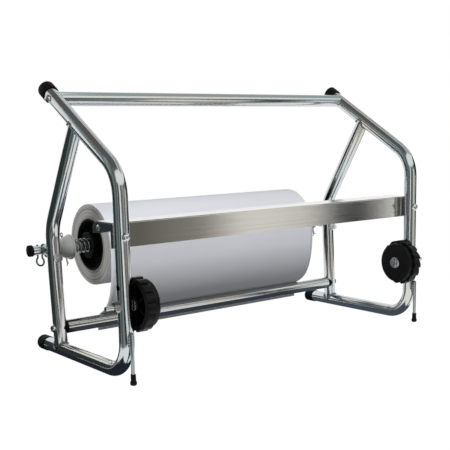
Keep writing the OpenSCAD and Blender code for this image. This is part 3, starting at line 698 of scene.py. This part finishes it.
def reshape(bm, side, new_radius):
    """Gives each point a new distance from the axis of a hub: new_radius(radius, degrees)."""
    axis = Vector(joints[side + "_hub_spin"]["pos_m"])
    for vert in bm.verts:
        spoke = Vector((vert.co.y - axis.y, vert.co.z - axis.z))
        if spoke.length > WELD:
            spoke *= new_radius(spoke.length, math.degrees(math.atan2(spoke.y, spoke.x))) / spoke.length
            vert.co.yz = spoke + axis.yz


def slimmer_bolt(bm, side):
    far = max(abs(vert.co.x) for vert in bm.verts)
    ends = [vert for vert in bm.verts if abs(vert.co.x) > far - WELD]
    bmesh.ops.translate(bm, vec=(-SIDES[side] * HUB_BOLT_SHORTER, 0.0, 0.0), verts=ends)
    reshape(bm, side, lambda radius, degrees: HUB_BOLT_RADIUS if radius < CAD_SHANK else radius)


def plain_drum(bm, side):
    reshape(bm, side, lambda radius, degrees: min(radius, DRUM_RADIUS))


def plated_collar(bm):
    """The lower bar reaches nearly to the strut, so only a thin rim of its plug stays black."""
    bar_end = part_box("lower_cross_bar")[1].x
    rim = bar_end + COLLAR_PLATED
    for place in (-rim, rim):
        bmesh.ops.bisect_plane(bm, geom=bm.verts[:] + bm.edges[:] + bm.faces[:], dist=WELD,
                               plane_co=(place, 0.0, 0.0), plane_no=(1.0, 0.0, 0.0))
    for face in bm.faces:
        face.material_index = int(bar_end - WELD < abs(face.calc_center_median().x) < rim)


RESHAPED = {"bar_end_plugs": plated_collar}
for side in SIDES:
    RESHAPED[side + "_hub_bolt"] = partial(slimmer_bolt, side=side)
    RESHAPED[side + "_tape_hub"] = partial(plain_drum, side=side)
SKINS = {"bar_end_plugs": ["black_rubber", "zinc_tube"]}


def eased_copy(node, width):
    bm = bmesh.new()
    bm.from_mesh(nodes[node].data)
    bmesh.ops.remove_doubles(bm, verts=bm.verts, dist=WELD)
    bmesh.ops.dissolve_limit(bm, angle_limit=FLAT, verts=bm.verts, edges=bm.edges)
    if node in RESHAPED:
        RESHAPED[node](bm)
    sharp = [edge for edge in bm.edges if edge.is_manifold and edge.calc_face_angle() > SHARP]
    bmesh.ops.bevel(bm, geom=sharp, offset=width, offset_type="OFFSET", segments=2, profile=0.5,
                    affect="EDGES", clamp_overlap=True, material=-1)
    piece = make_piece("eased_" + node, bm, slot_of[node], body_of[node], [node], SKINS.get(node))
    normals = piece.modifiers.new("flat_faces", "WEIGHTED_NORMAL")
    normals.keep_sharp = True


for width, names in EASED.items():
    for name in names:
        eased_copy(name, width)

# %% [markdown]
# ## The paper roll
#
# The roll could be a plain ring, but wound paper is never cut quite true: its end steps in and
# out by a fraction of a millimetre, and the outermost turns sit a little back. The section is
# drawn as a few points from bore to rim on both ends and spun once round the spindle.

# %% Paper roll
roll_low, roll_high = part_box("paper_roll")
roll_radius = (roll_high.z - roll_low.z) / 2
core_low, core_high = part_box("core_tube")
CORE_FIT = 0.0001
bore_radius = (core_high.z - core_low.z) / 2 + CORE_FIT
END_STEPS = 15
STEP_DEPTH = 0.0009
RIM_ROUND = 0.0008
ROLL_STEPS = 128
END_FACING = 0.5


def roll_end(face, inward):
    """Points (x, radius) on one end, from the bore to the rim: shallow steps, then a round rim."""
    points = [(face + inward * STEP_DEPTH, bore_radius)]
    wound_height = roll_radius - RIM_ROUND - bore_radius
    for step in range(END_STEPS):
        share = (step + 0.5) / END_STEPS
        set_back = STEP_DEPTH * (0.5 + 0.5 * math.sin(2.3 * step) * math.cos(0.7 * step))
        points.append((face + inward * set_back, bore_radius + share * wound_height))
    for corner in (0, 45, 90):
        across = math.radians(corner)
        set_back = STEP_DEPTH + RIM_ROUND * (1 - math.cos(across))
        points.append((face + inward * set_back, roll_radius - RIM_ROUND * (1 - math.sin(across))))
    return points


bm = bmesh.new()
outline = roll_end(roll_low.x, 1.0) + list(reversed(roll_end(roll_high.x, -1.0)))
section = strip(bm, [(x, spindle_axis.y, spindle_axis.z + radius) for x, radius in outline])
section.append(bm.edges.new((section[0], section[len(outline) - 1])))
bmesh.ops.spin(bm, geom=section, cent=spindle_axis, axis=(1, 0, 0), dvec=(0, 0, 0),
               angle=math.tau, steps=ROLL_STEPS, use_merge=True)
bmesh.ops.recalc_face_normals(bm, faces=bm.faces)
for face in bm.faces:
    face.material_index = 1 if abs(face.normal.x) > END_FACING else 0
make_piece("roll_of_paper", bm, "paper", "spindle", ["paper_roll"], ["paper", "cut_edges"], crease=30.0)

# %% [markdown]
# ## The hanging sheet
#
# The free end of the paper still has the curl of the roll: it leaves the front of the roll,
# bulges forward, lies over the lower bar and hangs down behind it. Paper bends one way only, so
# cloth simulation would only crumple it: the sheet is a flat grid that is laid row by row along
# that path, with a slack ripple where it is free. The path's own length is the length it was cut
# to.

# %% Path of the sheet
bar_low, bar_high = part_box("lower_cross_bar")
web_low, web_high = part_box("paper_web")
SHEET_GAP = 0.00055
LEAVES_ROLL = 180.0
LAP_ON_ROLL = 20.0
MEETS_BAR = 62.0
PULL_BY_ROLL = 0.088
PULL_BY_BAR = 0.018
LAP_STEPS, HANG_STEPS, BAR_STEPS = 8, 40, 10


def polar(radius, degrees):
    return radius * Vector((math.cos(math.radians(degrees)), math.sin(math.radians(degrees))))


roll_centre = Vector((spindle_axis.y, spindle_axis.z))
bar_centre = Vector(((bar_low.y + bar_high.y) / 2, (bar_low.z + bar_high.z) / 2))
sheet_on_roll = roll_radius + SHEET_GAP
sheet_on_bar = (bar_high.z - bar_low.z) / 2 + SHEET_GAP
leaves = roll_centre + polar(sheet_on_roll, LEAVES_ROLL)
touches = bar_centre + polar(sheet_on_bar, MEETS_BAR)
path = [roll_centre + polar(sheet_on_roll, LEAVES_ROLL - LAP_ON_ROLL * (1 - i / LAP_STEPS))
        for i in range(LAP_STEPS)]
path += geometry.interpolate_bezier(leaves, leaves + polar(PULL_BY_ROLL, -90.0),
                                    touches + polar(PULL_BY_BAR, MEETS_BAR + 90.0), touches,
                                    HANG_STEPS + 1)
path += [bar_centre + polar(sheet_on_bar, MEETS_BAR * (1 - i / BAR_STEPS))
         for i in range(1, BAR_STEPS + 1)]
path += [Vector((bar_centre.x + sheet_on_bar, web_low.z))]
sheet_length = sum((after - before).length for before, after in zip(path, path[1:]))
print("sheet runs", round(sheet_length, 4), "m along", len(path), "points")

# %% Hanging sheet
SHEET_THICK = 0.0003
SHEET_COLUMNS = 60
RIPPLE = 0.0009
sheet_width = web_high.x - web_low.x
rows = len(path) - 1
free_from, free_to = leaves.y, touches.y


def ripple(x, height):
    """How far the slack sheet stands off its path to the front: nothing at the roll and the bar."""
    share = min(max((free_from - height) / (free_from - free_to), 0.0), 1.0)
    waves = 0.6 + 0.4 * math.sin(21.0 * x + 0.6) + 0.25 * math.sin(47.0 * x)
    return RIPPLE * math.sin(math.pi * share) * waves


bm = bmesh.new()
bmesh.ops.create_grid(bm, x_segments=SHEET_COLUMNS, y_segments=rows, size=0.5)
for vert in bm.verts:
    x = web_low.x + (vert.co.x + 0.5) * sheet_width
    point = path[round((vert.co.y + 0.5) * rows)]
    vert.co = (x, point.x - ripple(x, point.y), point.y)
sheet = make_piece("hanging_sheet", bm, "paper", "frame", ["paper_web"])
thickness = sheet.modifiers.new("thickness", "SOLIDIFY")
thickness.thickness = SHEET_THICK
thickness.offset = 0.0
print("sheet cut to", round(sheet_width, 4), "by", round(sheet_length, 4), "m")

# %% [markdown]
# ## The roll springs
#
# Two springs press the core cones into the roll. On the real ones the end turns are wound flat so
# that they seat squarely. A ring of wire spun round the spindle makes a torus; given a step along
# the axis as well, the same spin winds a spring.

# %% Coil springs
COIL_WIRE = 0.0022
COIL_RADIUS = 0.00975
OPEN_TURNS = 4.0
FLAT_TURNS = 0.75
FLAT_PITCH = 1.05 * COIL_WIRE
TURN_STEPS = 36
WIRE_SIDES = 14


def wind(bm, ring, turns, travel):
    """Winds the wire on by some turns while it travels along X, and returns the new end ring."""
    steps = round(TURN_STEPS * turns)
    wound = bmesh.ops.spin(bm, geom=ring, cent=spindle_axis, axis=(1, 0, 0),
                           dvec=(travel / steps, 0.0, 0.0), angle=math.tau * turns, steps=steps)
    return wound["geom_last"]


def coil_spring(side):
    node = side + "_coil_spring"
    low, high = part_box(node)
    flat_rise = FLAT_PITCH * FLAT_TURNS
    open_rise = high.x - low.x - COIL_WIRE - 2 * flat_rise
    bm = bmesh.new()
    start = Matrix.Translation((low.x + COIL_WIRE / 2, spindle_axis.y, spindle_axis.z + COIL_RADIUS))
    made = bmesh.ops.create_circle(bm, cap_ends=True, segments=WIRE_SIDES, radius=COIL_WIRE / 2,
                                   matrix=start @ turn(90, "X"))
    ring = made["verts"] + edges_among(made["verts"])
    for turns, rise in ((FLAT_TURNS, flat_rise), (OPEN_TURNS, open_rise), (FLAT_TURNS, flat_rise)):
        ring = wind(bm, ring, turns, rise)
    bmesh.ops.contextual_create(bm, geom=only(bmesh.types.BMEdge, ring))
    bmesh.ops.recalc_face_normals(bm, faces=bm.faces)
    spring = make_piece("spring_" + side, bm, "spring_wire", "spindle", [node])
    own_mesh(spring)


for side in SIDES:
    coil_spring(side)

# %% [markdown]
# ## The nylon bells
#
# Each spring pushes against a fat nylon bell that a split pin holds on the spindle. It was turned
# or moulded round, so its section is drawn from the flange over the dome to the neck, and spun.
# The dome follows part of an ellipse. A higher fullness would swell it.

# %% Nylon bells
BELL_REACH = 0.0215
BELL_FULLNESS = 2.0
BELL_EDGE = 0.0012
BELL_STEPS = 14
FLANGE = 0.0028
FLANGE_ROUND = 0.0009
DOME_FROM_FLANGE = 0.0004
DOME_STEP_IN = 0.0012
SPINDLE_FIT = 0.0001
spindle_low, spindle_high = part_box("spindle_tube")
spindle_radius = (spindle_high.z - spindle_low.z) / 2


def lathe(outline, place, steps=64):
    """Turns a closed outline of (height, radius) points round the local Z axis and puts it in place."""
    bm = bmesh.new()
    section = strip(bm, [(radius, 0.0, height) for height, radius in outline])
    section.append(bm.edges.new((section[0], section[len(outline) - 1])))
    bmesh.ops.spin(bm, geom=section, cent=(0, 0, 0), axis=(0, 0, 1), dvec=(0, 0, 0),
                   angle=math.tau, steps=steps, use_merge=True)
    bmesh.ops.transform(bm, matrix=place, verts=bm.verts)
    bmesh.ops.remove_doubles(bm, verts=bm.verts, dist=WELD)
    bmesh.ops.recalc_face_normals(bm, faces=bm.faces)
    return bm


def along(point, way):
    """A place whose local Z axis points the given way."""
    return Matrix.Translation(point) @ Vector(way).to_track_quat("Z", "Y").to_matrix().to_4x4()


def dome(distance, radius):
    share = distance / BELL_REACH
    return radius * (1 - share ** BELL_FULLNESS) ** (1 / BELL_FULLNESS)


def nylon_bell(side):
    node = side + "_nylon_bell"
    low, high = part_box(node)
    length, radius = high.x - low.x, (high.z - low.z) / 2
    bore = spindle_radius + SPINDLE_FIT
    outline = [(0.0, bore), (0.0, radius - FLANGE_ROUND), (FLANGE_ROUND / 2, radius),
               (FLANGE - FLANGE_ROUND, radius), (FLANGE, radius - FLANGE_ROUND)]
    first, last = FLANGE + DOME_FROM_FLANGE, length - BELL_EDGE
    stations = [first + (last - first) * step / BELL_STEPS for step in range(BELL_STEPS + 1)]
    widest = radius - DOME_STEP_IN
    outline += [(distance, dome(distance, widest)) for distance in stations]
    outline += [(length, dome(length, widest) - BELL_EDGE), (length, bore)]
    face = high.x if side == "left" else low.x
    place = along((face, spindle_axis.y, spindle_axis.z), (SIDES[side], 0.0, 0.0))
    make_piece("bell_" + side, lathe(outline, place), "nylon", "spindle", [node], crease=50.0)


for side in SIDES:
    nylon_bell(side)

# %% [markdown]
# ## Spring clips
#
# A bent-wire clip stops the spindle from sliding out of its hooks: one straight leg goes through
# the tube, and a springy leg hugs it from outside. A wire could be a curve with a round profile.
# Here a ring is pushed from point to point and turned into each new direction, which gives the
# same wire as a mesh with closed ends.

# %% Spring clips
CLIP_PLACE = 0.2905
CLIP_WIRE = 0.0028
CLIP_TURN = 30.0
CLIP_GAP = 0.0003
CLIP_NECK = 0.0027
CLIP_EYE = 0.0063
CLIP_SPRING = 0.0025
CLIP_PROUD = 0.0015
CLIP_TIP_OUT, CLIP_TIP_UP = 0.0010, 0.0025
EYE_STEPS, BOW_STEPS = 32, 8


def draw_wire(points, width):
    """A round wire with closed ends through a list of points."""
    bm = bmesh.new()
    heading = (points[1] - points[0]).normalized()
    ring = bmesh.ops.create_circle(bm, cap_ends=True, segments=WIRE_SIDES, radius=width / 2,
                                   matrix=along(points[0], heading))["verts"]
    for i in range(1, len(points)):
        pushed = bmesh.ops.extrude_edge_only(bm, edges=edges_among(ring))["geom"]
        ring = only(bmesh.types.BMVert, pushed)
        ahead = (points[min(i + 1, len(points) - 1)] - points[i - 1]).normalized()
        bmesh.ops.translate(bm, vec=points[i] - points[i - 1], verts=ring)
        bend = heading.rotation_difference(ahead).to_matrix()
        bmesh.ops.rotate(bm, cent=points[i], matrix=bend, verts=ring)
        heading = ahead
    bmesh.ops.contextual_create(bm, geom=edges_among(ring))
    bmesh.ops.recalc_face_normals(bm, faces=bm.faces)
    return bm


def clip_outline():
    """Points (across, up) from the spindle axis: straight leg, eye, spring leg and its lifted tip."""
    grip = (spindle_radius + CLIP_WIRE / 2 + CLIP_GAP) / math.cos(math.radians(CLIP_TURN))
    waist = grip - CLIP_SPRING
    eye = Vector((-waist / 2, -spindle_radius - CLIP_NECK - CLIP_EYE))
    opening = math.degrees(math.acos(waist / 2 / CLIP_EYE))
    sweep = 180 + 2 * opening
    points = [Vector((0.0, spindle_radius + CLIP_PROUD)), Vector((0.0, -spindle_radius))]
    points += [eye + polar(CLIP_EYE, opening - sweep * i / EYE_STEPS) for i in range(EYE_STEPS + 1)]
    for i in range(-BOW_STEPS, BOW_STEPS + 1):
        bow = CLIP_SPRING * (1 - math.cos(math.radians(90 * i / BOW_STEPS)))
        points.append(Vector((bow - grip, spindle_radius * i / BOW_STEPS)))
    return points + [Vector((-grip - CLIP_TIP_OUT, spindle_radius + CLIP_TIP_UP))]


def spring_clip(side):
    angle = math.radians(CLIP_TURN)
    across = Vector((SIDES[side] * math.sin(angle), math.cos(angle), 0.0))
    foot = Vector((SIDES[side] * CLIP_PLACE, spindle_axis.y, spindle_axis.z))
    points = [foot + across * step.x + Vector((0.0, 0.0, step.y)) for step in clip_outline()]
    make_piece("clip_" + side, draw_wire(points, CLIP_WIRE), "spring_wire", "spindle",
               [side + "_spring_clip"], crease=60.0)


for side in SIDES:
    spring_clip(side)

# %% [markdown]
# ## Grips on the hubs
#
# The drum of each hub is moulded with stepped grips, so that a finger can turn the tape. Each grip
# rises in a ramp and drops in a step. A plain ring is turned first, and then every point of its
# outer wall moves in by what the grip lacks at that angle.

# %% Hub grips
GRIPS = 15
GRIP_STEPS = 12
GRIP_WIDTH = 0.014
GRIP_EDGE = 0.0006
GRIP_LOW, GRIP_HIGH = 0.0332, 0.0360
GRIP_RAMP = 0.6
GRIP_SINK = 0.0002


def grip_radius(radius, degrees):
    if radius < DRUM_RADIUS:
        return radius
    share = min((degrees * GRIPS / 360) % 1 / GRIP_RAMP, 1.0)
    return radius - (GRIP_HIGH - GRIP_LOW) * (1 - share)


def hub_grips(side):
    low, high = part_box(side + "_tape_hub")
    axis = Vector(joints[side + "_hub_spin"]["pos_m"])
    outer = Vector((high.x if side == "right" else low.x, axis.y, axis.z))
    inner = DRUM_RADIUS - GRIP_SINK
    outline = [(0.0, inner), (0.0, GRIP_HIGH - GRIP_EDGE), (GRIP_EDGE, GRIP_HIGH),
               (GRIP_WIDTH - GRIP_EDGE, GRIP_HIGH), (GRIP_WIDTH, GRIP_HIGH - GRIP_EDGE),
               (GRIP_WIDTH, inner)]
    bm = lathe(outline, along(outer, (-SIDES[side], 0.0, 0.0)), steps=GRIPS * GRIP_STEPS)
    reshape(bm, side, grip_radius)
    make_piece("grips_" + side, bm, "black_plastic", body_of[side + "_tape_hub"], crease=25.0)


for side in SIDES:
    hub_grips(side)

# %% [markdown]
# ## Rubber caps, tips and plugs
#
# The ends of the tubes are closed with round rubber pieces, so their sections are spun like the
# bells. Each section has an eased edge at the closed end. The caps on the feet are slimmer and
# have fine grooves, and the tips of the rods swell to a small bulb.

# %% Rubber pieces
CAD_CAP_LENGTH = 0.020
CAP_LENGTH = {"top": 0.0175, "foot": CAD_CAP_LENGTH}
CAP_RADIUS = {"top": 0.012, "foot": 0.011}
CAP_EDGE = 0.0025
EDGE_STEPS = 6
CAP_END = 0.003
GROOVES = {"top": (), "foot": (0.004, 0.008, 0.012)}
GROOVE = 0.0004
ARM_SLOPE = 30.7
PLUG_LENGTH = 0.0055
PLUG_RADIUS = 0.0084
PLUG_EDGE = [(0.0, 0.0008), (0.0003, 0.0002), (0.0010, 0.0)]
TIP_BORE = 0.0025
TIP = [(0.0, 0.0029), (0.0009, 0.0041), (0.0024, 0.0045), (0.004, 0.0045), (0.0065, 0.0035),
       (0.0144, 0.0035), (0.015, 0.003), (0.015, TIP_BORE)]
tube_low, tube_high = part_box("left_side_tube")
tube_radius = (tube_high.x - tube_low.x) / 2


def frame_way(degrees):
    """A direction in the plane of a side frame, from +Y upwards."""
    return Vector((0.0, math.cos(math.radians(degrees)), math.sin(math.radians(degrees))))


def cap_outline(kind):
    length, radius = CAP_LENGTH[kind], CAP_RADIUS[kind]
    outline = [(length - CAP_END, 0.0), (length - CAP_END, tube_radius), (0.0, tube_radius),
               (0.0, radius - GROOVE), (GROOVE, radius)]
    for groove in GROOVES[kind]:
        outline += [(groove - GROOVE, radius), (groove, radius - GROOVE), (groove + GROOVE, radius)]
    for step in range(EDGE_STEPS + 1):
        corner = polar(CAP_EDGE, 90.0 - 90.0 * step / EDGE_STEPS)
        outline.append((length - CAP_EDGE + corner.x, radius - CAP_EDGE + corner.y))
    return outline + [(length, 0.0)]


def rubber_cap(side, kind, way):
    node = "{}_{}_cap".format(side, kind)
    low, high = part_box(node)
    mouth = (low + high) / 2 + way * (CAD_CAP_LENGTH / 2 - CAP_LENGTH[kind])
    make_piece("cap_{}_{}".format(kind, side), lathe(cap_outline(kind), along(mouth, way)),
               "black_rubber", "frame", [node], crease=50.0)


def rod_tip(side):
    node = side + "_rod_tip"
    low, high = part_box(node)
    foot = Vector(((low.x + high.x) / 2, (low.y + high.y) / 2, low.z))
    outline = [(0.0, 0.0)] + TIP + [(CAP_END, TIP_BORE), (CAP_END, 0.0)]
    make_piece("tip_" + side, lathe(outline, along(foot, (0.0, 0.0, 1.0)), steps=32),
               "black_rubber", "frame", [node], crease=50.0)


def spindle_plugs():
    low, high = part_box("spindle_plugs")
    inside = high.x - spindle_high.x
    outline = [(0.0, 0.0)] + [(height, PLUG_RADIUS - set_back) for height, set_back in PLUG_EDGE]
    outline += [(PLUG_LENGTH, PLUG_RADIUS), (PLUG_LENGTH, spindle_radius), (inside, spindle_radius),
                (inside, 0.0)]
    bm = lathe(outline, along((low.x, spindle_axis.y, spindle_axis.z), (1.0, 0.0, 0.0)))
    bmesh.ops.mirror(bm, geom=bm.verts[:] + bm.edges[:] + bm.faces[:], axis="X", merge_dist=-1.0)
    bmesh.ops.recalc_face_normals(bm, faces=bm.faces)
    make_piece("plugs_on_spindle", bm, slot_of["spindle_plugs"], "spindle", ["spindle_plugs"], crease=50.0)


for side in SIDES:
    rubber_cap(side, "top", frame_way(ARM_SLOPE))
    rubber_cap(side, "foot", frame_way(0.0))
    rod_tip(side)
spindle_plugs()

# %% [markdown]
# ## Welds
#
# The struts were welded to the arm and the foot, and the support rods to the legs, before the
# frame was plated. A weld is a row of overlapping drops. Round a strut it is a ring that follows
# the other tube's curve: a torus is spun, its section swells and shrinks along the way, and each
# point is lifted to the saddle where the two tubes meet. Beside a rod it is a short rippled bead.

# %% Welds round the struts
top_low, top_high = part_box("top_cross_bar")
STRUT_LEAN = 2.6
STRUT_TILT = 31.8
STRUT_FROM_TOP_BAR = 0.0672
WELD_BEAD = 0.0017
WELD_DROPS = 26
WELD_STEPS, WELD_SIDES = 156, 10


def weld_ring(name, centre, away):
    """A bead round a tube that leaves another of the same width from centre, in the given way."""
    bm = bmesh.new()
    radius = tube_radius + WELD_BEAD / 3
    bmesh.ops.create_circle(bm, segments=WELD_SIDES, radius=WELD_BEAD,
                            matrix=Matrix.Translation((radius, 0.0, 0.0)) @ turn(90, "X"))
    bmesh.ops.spin(bm, geom=bm.verts[:] + bm.edges[:], cent=(0, 0, 0), axis=(0, 0, 1), dvec=(0, 0, 0),
                   angle=math.tau, steps=WELD_STEPS, use_merge=True)
    bmesh.ops.recalc_face_normals(bm, faces=bm.faces)
    for vert in bm.verts:
        angle = math.atan2(vert.co.y, vert.co.x)
        middle = Vector((radius * math.cos(angle), radius * math.sin(angle), 0.0))
        swell = 1.0 + 0.15 * math.sin(WELD_DROPS * angle) + 0.12 * math.sin(5 * angle + 1.0)
        vert.co = middle + (vert.co - middle) * swell
        vert.co.z += math.sqrt(max(tube_radius ** 2 - middle.x ** 2, 0.0))
    side_way = Vector((1.0, 0.0, 0.0))
    axes = Matrix((side_way, away.cross(side_way), away)).transposed().to_4x4()
    bmesh.ops.transform(bm, matrix=Matrix.Translation(centre) @ axes, verts=bm.verts)
    make_piece(name, bm, "zinc_tube", "frame", skins=["weld_bead"], crease=60.0)


foot_height = tube_low.z + tube_radius
strut_up = frame_way(90.0 - STRUT_LEAN)
strut_on_bar = Vector((0.0, bar_centre.x, bar_centre.y))
strut_foot = strut_on_bar - strut_up * ((bar_centre.y - foot_height) / strut_up.z)
top_bar = Vector((0.0, (top_low.y + top_high.y) / 2, (top_low.z + top_high.z) / 2))
strut_top = top_bar - frame_way(ARM_SLOPE) * STRUT_FROM_TOP_BAR
for side, sign in SIDES.items():
    frame_x = Vector((sign * (tube_high.x + tube_low.x) / -2, 0.0, 0.0))
    weld_ring("weld_foot_" + side, strut_foot + frame_x, strut_up)
    weld_ring("weld_arm_" + side, strut_top + frame_x, -frame_way(90.0 + STRUT_TILT))

# %% Welds beside the support rods
ROD_WELD_LENGTH = 0.019
ROD_WELD_BELOW_TOP = 0.003
ROD_BEAD = 0.0016
ROD_DROPS = 5
ROD_STEPS = 40
ROD_SWELL = 0.16
ROD_BLUNT = 2.6


def rod_weld(side, edge):
    low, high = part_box(side + "_support_rod")
    rod_radius = (high.x - low.x) / 2
    outline = [(0.0, 0.0)]
    for step in range(1, ROD_STEPS):
        share = step / ROD_STEPS
        swell = 1.0 + ROD_SWELL * math.cos(math.tau * ROD_DROPS * share)
        blunt = min(1.0, math.sin(math.pi * share) * ROD_BLUNT)
        outline.append((ROD_WELD_LENGTH * share, ROD_BEAD * swell * blunt))
    outline.append((ROD_WELD_LENGTH, 0.0))
    foot = Vector(((low.x + high.x) / 2 + edge * rod_radius, high.y - rod_radius / 3,
                   high.z - ROD_WELD_BELOW_TOP - ROD_WELD_LENGTH))
    name = "weld_rod_{}_{}".format(side, "outer" if edge * SIDES[side] > 0 else "inner")
    bm = lathe(outline, along(foot, (0.0, 0.0, 1.0)), steps=16)
    make_piece(name, bm, "zinc_tube", "frame", skins=["weld_bead"], crease=60.0)


for side in SIDES:
    for edge in (-1.0, 1.0):
        rod_weld(side, edge)

# %% [markdown]
# ## Threads
#
# The ends of the hub bolts and hook bolts that stand out of their nuts are threaded. A thread is
# the coil spring's trick on a small scale: a triangle is spun round the bolt with a step along it.

# %% Threads
PITCH = 0.0010
RIDGE = 0.3 * PITCH
THREAD_SINK = 0.0002
THREAD_STEPS = 24
NUT_CLEAR = 0.0004
hub_nut_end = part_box("hub_nuts")[1].x
hook_nut_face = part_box("hook_nuts")[0].y


def thread(start, end, radius):
    """A ridge wound round a bolt of some radius from start to end."""
    way = end - start
    turns = way.length / PITCH - 1
    bm = bmesh.new()
    corners = [(radius - THREAD_SINK, 0.1), (radius + RIDGE, 0.5), (radius - THREAD_SINK, 0.9)]
    bm.faces.new([bm.verts.new((distance, 0.0, PITCH * share)) for distance, share in corners])
    steps = round(THREAD_STEPS * turns)
    wound = bmesh.ops.spin(bm, geom=bm.verts[:] + bm.edges[:], cent=(0, 0, 0), axis=(0, 0, 1),
                           dvec=(0.0, 0.0, PITCH * turns / steps), angle=math.tau * turns, steps=steps)
    bmesh.ops.contextual_create(bm, geom=only(bmesh.types.BMEdge, wound["geom_last"]))
    bmesh.ops.recalc_face_normals(bm, faces=bm.faces)
    bmesh.ops.transform(bm, matrix=along(start, way), verts=bm.verts)
    return bm


def hub_thread(side, sign):
    low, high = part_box(side + "_hub_bolt")
    axis = Vector(joints[side + "_hub_spin"]["pos_m"])
    inner = Vector((sign * (hub_nut_end + NUT_CLEAR), axis.y, axis.z))
    outer = Vector((sign * (max(high.x, -low.x) - HUB_BOLT_SHORTER), axis.y, axis.z))
    bm = thread(inner, outer, HUB_BOLT_RADIUS - THREAD_SINK)
    make_piece("thread_hub_" + side, bm, "zinc_hardware", "frame", skins=["straw_zinc"], crease=25.0)


def hook_thread(side):
    low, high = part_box(side + "_hook_bolt")
    shank = (high.x - low.x) / 2
    middle = Vector(((low.x + high.x) / 2, 0.0, low.z + shank))
    inner = middle + Vector((0.0, hook_nut_face - NUT_CLEAR, 0.0))
    outer = middle + Vector((0.0, low.y, 0.0))
    make_piece("thread_hook_" + side, thread(inner, outer, shank - THREAD_SINK), "zinc_hardware",
               "frame", crease=25.0)


for side, sign in SIDES.items():
    hub_thread(side, sign)
    hook_thread(side)
